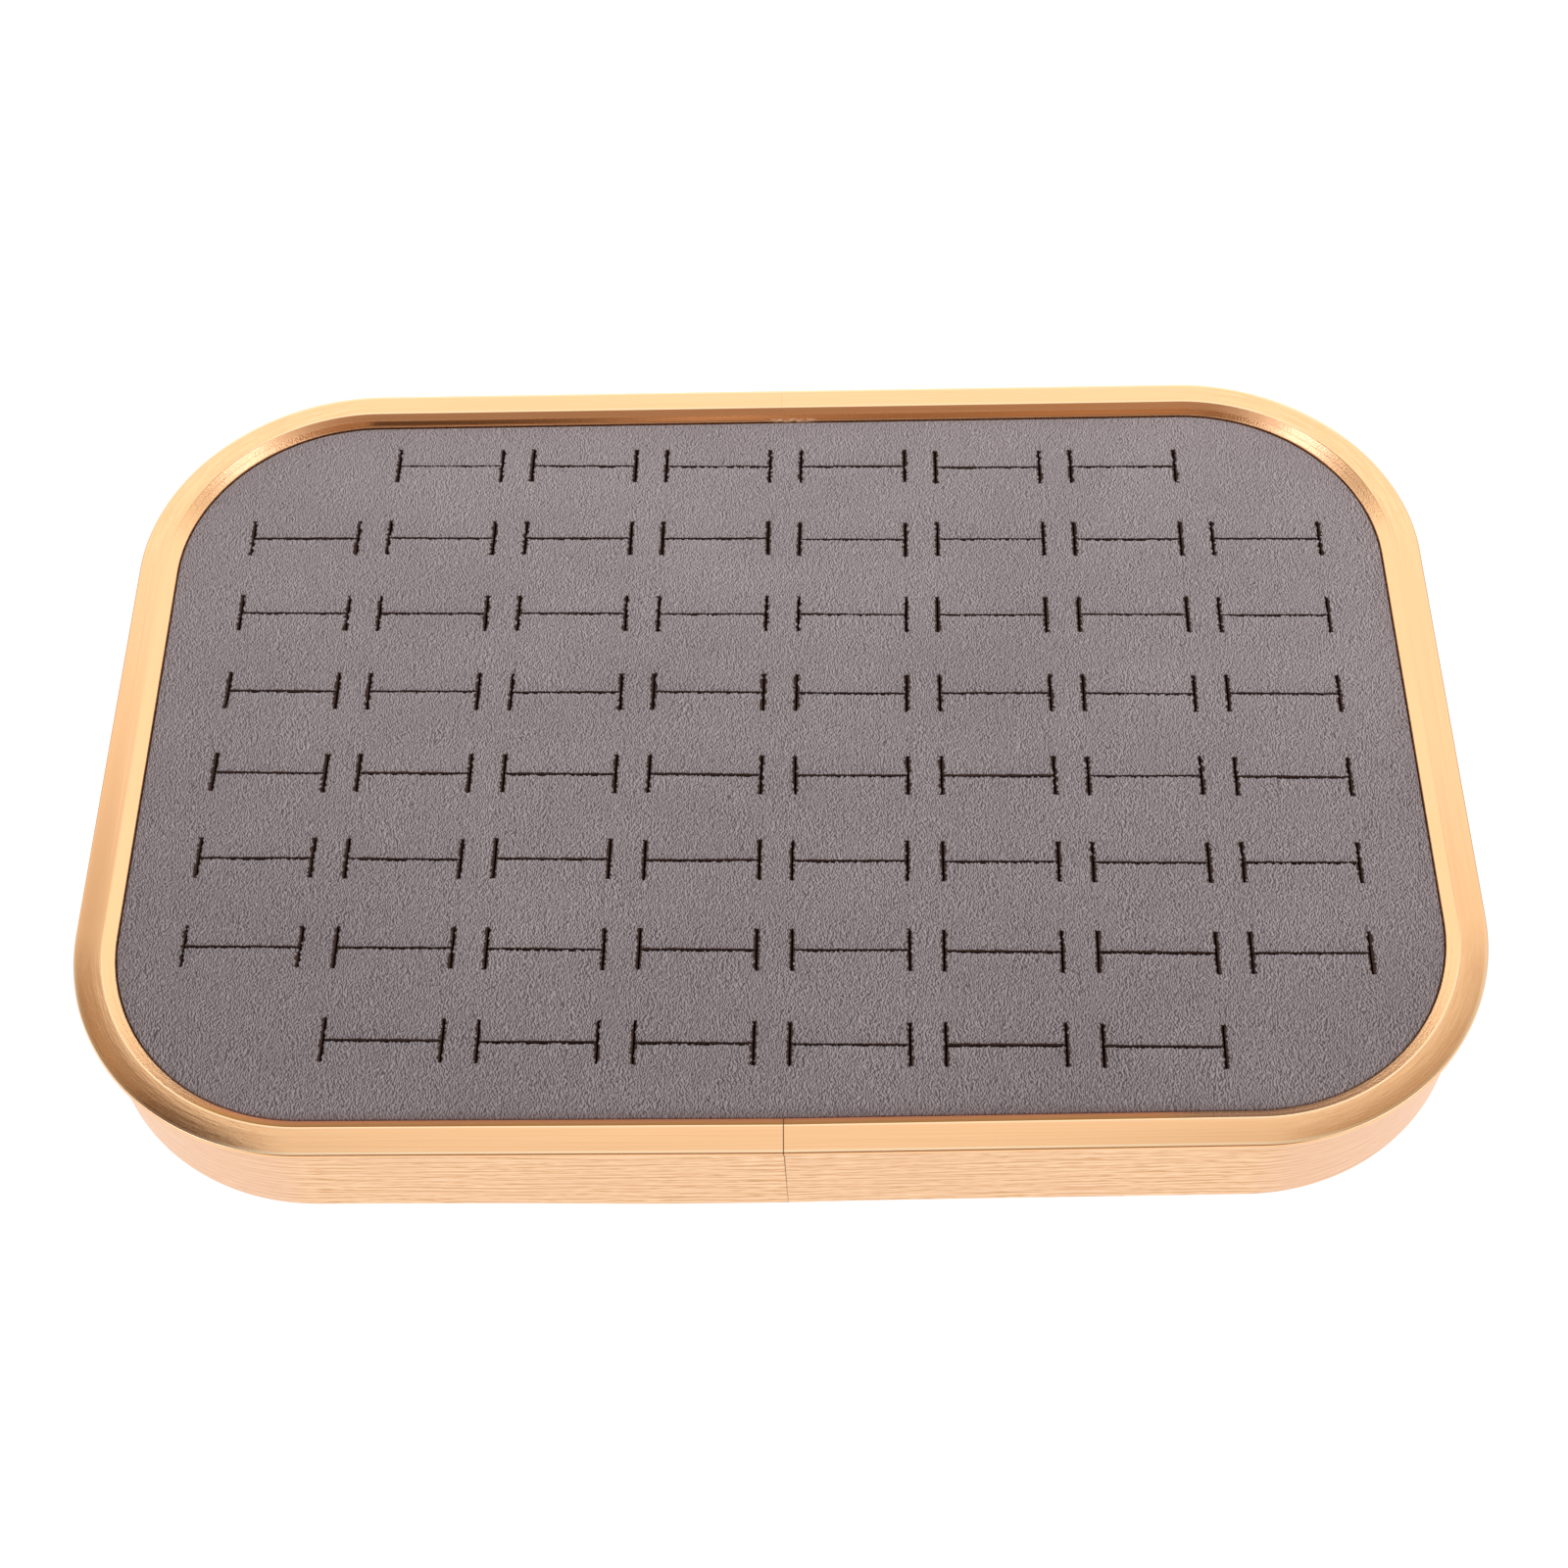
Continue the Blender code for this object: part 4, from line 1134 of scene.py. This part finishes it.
foot_profile = [(0.0, FOOT_T), (FOOT_R - 0.12, FOOT_T), (FOOT_R, FOOT_T - 0.12), (FOOT_R - 0.04, FOOT_T - 0.6),
                (FOOT_R - 0.18, 0.95), (FOOT_R - 0.42, 0.5), (FOOT_R - 0.8, 0.18), (FOOT_R - 1.3, 0.03), (FOOT_R - 1.8, 0.0),
                (1.5, 0.0), (0.0, 0.0)]
foot = lathe([(r * M, z * M) for r, z in foot_profile], 56)
foot.materials.append(RUBBER)
shaded(foot, 50.0)
reach = (OPEN_R - FLANGE_IN / 2) * cos(radians(45.0))
foot_x, foot_y = OPEN_HALF_X - OPEN_R + reach, OPEN_HALF_Y - OPEN_R + reach
for fx, fy, label in ((-1, -1, "front_left"), (1, -1, "front_right"), (-1, 1, "back_left"), (1, 1, "back_right")):
    one = piece("bumper_" + label, foot.copy(), "tray", "rubber", "foot_" + label)
    one.data.transform(Matrix.Translation((fx * foot_x * M, fy * foot_y * M, 0.0)))

# the two splice bars keep their own solids
for label in ("front", "back"):
    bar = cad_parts["splice_bar_" + label]
    bar.data.materials.clear()
    bar.data.materials.append(MILL)

# ==== floor and light ===========================================================
floor_mesh = bpy.data.meshes.new("floor")
bm = bmesh.new()
bmesh.ops.create_grid(bm, x_segments=8, y_segments=8, size=3.0)
bm.to_mesh(floor_mesh)
bm.free()
floor = bpy.data.objects.new("floor", floor_mesh)
floor.location.z = -0.0002
scene.collection.objects.link(floor)
mat, tree, shader = finish_of("pale_floor", Roughness=0.8, Specular_IOR_Level=0.1, Emission_Strength=0.97,
                              Emission_Color=(1.0, 1.0, 1.0, 1.0))
tree.links.new(blend(tree, grain(tree, place(tree), 0.02, 3.0), (0.145, 0.145, 0.145), (0.155, 0.155, 0.155)),
               shader.inputs["Base Color"])
floor_mesh.materials.append(mat)

world = bpy.data.worlds.new("studio")
scene.world = world
world.use_nodes = True
tree = world.node_tree
tree.nodes.clear()
direction = vec(tree, "NORMALIZE", node(tree, "TexCoord").outputs["Generated"])
dx, dy, dz = axes(tree, direction)
above = span(tree, dz, 0.42, 0.60)
# overhead: open on the left and the right there is less light, more so towards the front
left = blend(tree, span(tree, dy, 0.24, 0.54), (0.07, 0.030, 0.010), (0.71, 0.63, 0.55))
aside = blend(tree, span(tree, dy, 0.12, 0.50), (0.45, 0.36, 0.27), (0.90, 0.86, 0.82))
front = span(tree, dy, -0.20, -0.02)
light = blend(tree, calc(tree, "MULTIPLY", calc(tree, "MULTIPLY", above, front),
                         span(tree, dx, -0.22, -0.337)), (1.03, 1.045, 1.06), left)
light = blend(tree, calc(tree, "MULTIPLY", calc(tree, "MULTIPLY", above, front),
                         span(tree, dx, 0.07, 0.36)), light, aside)
# the wall of light behind the tray
beside = span(tree, calc(tree, "ABSOLUTE", dx), 0.55, 0.75)
edge = calc(tree, "MULTIPLY_ADD", beside, 0.26, calc(tree, "MULTIPLY_ADD", dx, 0.05, dy))
light = blend(tree, span(tree, edge, 0.462, 0.56), light, (1.30, 1.30, 1.30))
# the dark side of the room, behind the camera, down to the horizon
behind = calc(tree, "MULTIPLY", span(tree, dy, -0.36, -0.58), span(tree, dz, 0.02, 0.20))
light = blend(tree, calc(tree, "MULTIPLY", behind, span(tree, calc(tree, "ABSOLUTE", dx), 0.50, 0.22)), light, (0.18, 0.105, 0.065))
PATCHES = [                # direction, full within degrees, gone beyond degrees, radiance
    ((0.64, -0.25, 0.73), 7, 15, (2.15, 2.05, 2.45)),        # lamps left and right
    ((-0.62, -0.30, 0.73), 7, 15, (2.35, 2.25, 2.75)),
    ((0.79, 0.05, 0.62), 4, 12, (0.92, 0.90, 0.88)),
    ((-0.79, 0.05, 0.62), 4, 12, (0.86, 0.83, 0.80)),
    ((-0.50, 0.30, 0.81), 3.5, 9, (0.50, 0.37, 0.26)),
    ((-0.345, -0.535, 0.77), 2.0, 7.0, (0.40, 0.26, 0.18)),
    ((0.385, -0.50, 0.775), 2.0, 7.0, (0.46, 0.30, 0.21)),
    ((0.0, -0.64, 0.77), 11, 31, (0.40, 0.245, 0.160)),      # behind the camera, higher up
    ((-0.165, -0.612, 0.773), 4.4, 6.9, (0.045, 0.028, 0.018)),  # and what stands there
    ((-0.112, -0.618, 0.775), 1.4, 3.0, (0.0, 0.0, 0.0)),
    ((-0.046, -0.627, 0.778), 0.8, 2.0, (1.45, 1.05, 0.85)),
    ((0.030, -0.627, 0.778), 1.6, 3.6, (0.29, 0.175, 0.110)),
    ((0.011, -0.627, 0.778), 0.4, 1.5, (0.10, 0.055, 0.030)),
    ((0.092, -0.624, 0.776), 0.9, 2.6, (0.62, 0.36, 0.200)),
    ((0.060, -0.626, 0.777), 0.4, 1.6, (0.18, 0.105, 0.065)),
]
for towards, inner, outer, radiance in PATCHES:
    facing = vec(tree, "DOT_PRODUCT", direction, Vector(towards).normalized())
    weight = span(tree, facing, cos(radians(outer)), cos(radians(inner)))
    light = blend(tree, weight, light, radiance)
background = node(tree, "Background", {"Color": light, "Strength": 1.0})
tree.links.new(background.outputs[0], node(tree, "OutputWorld").inputs[0])
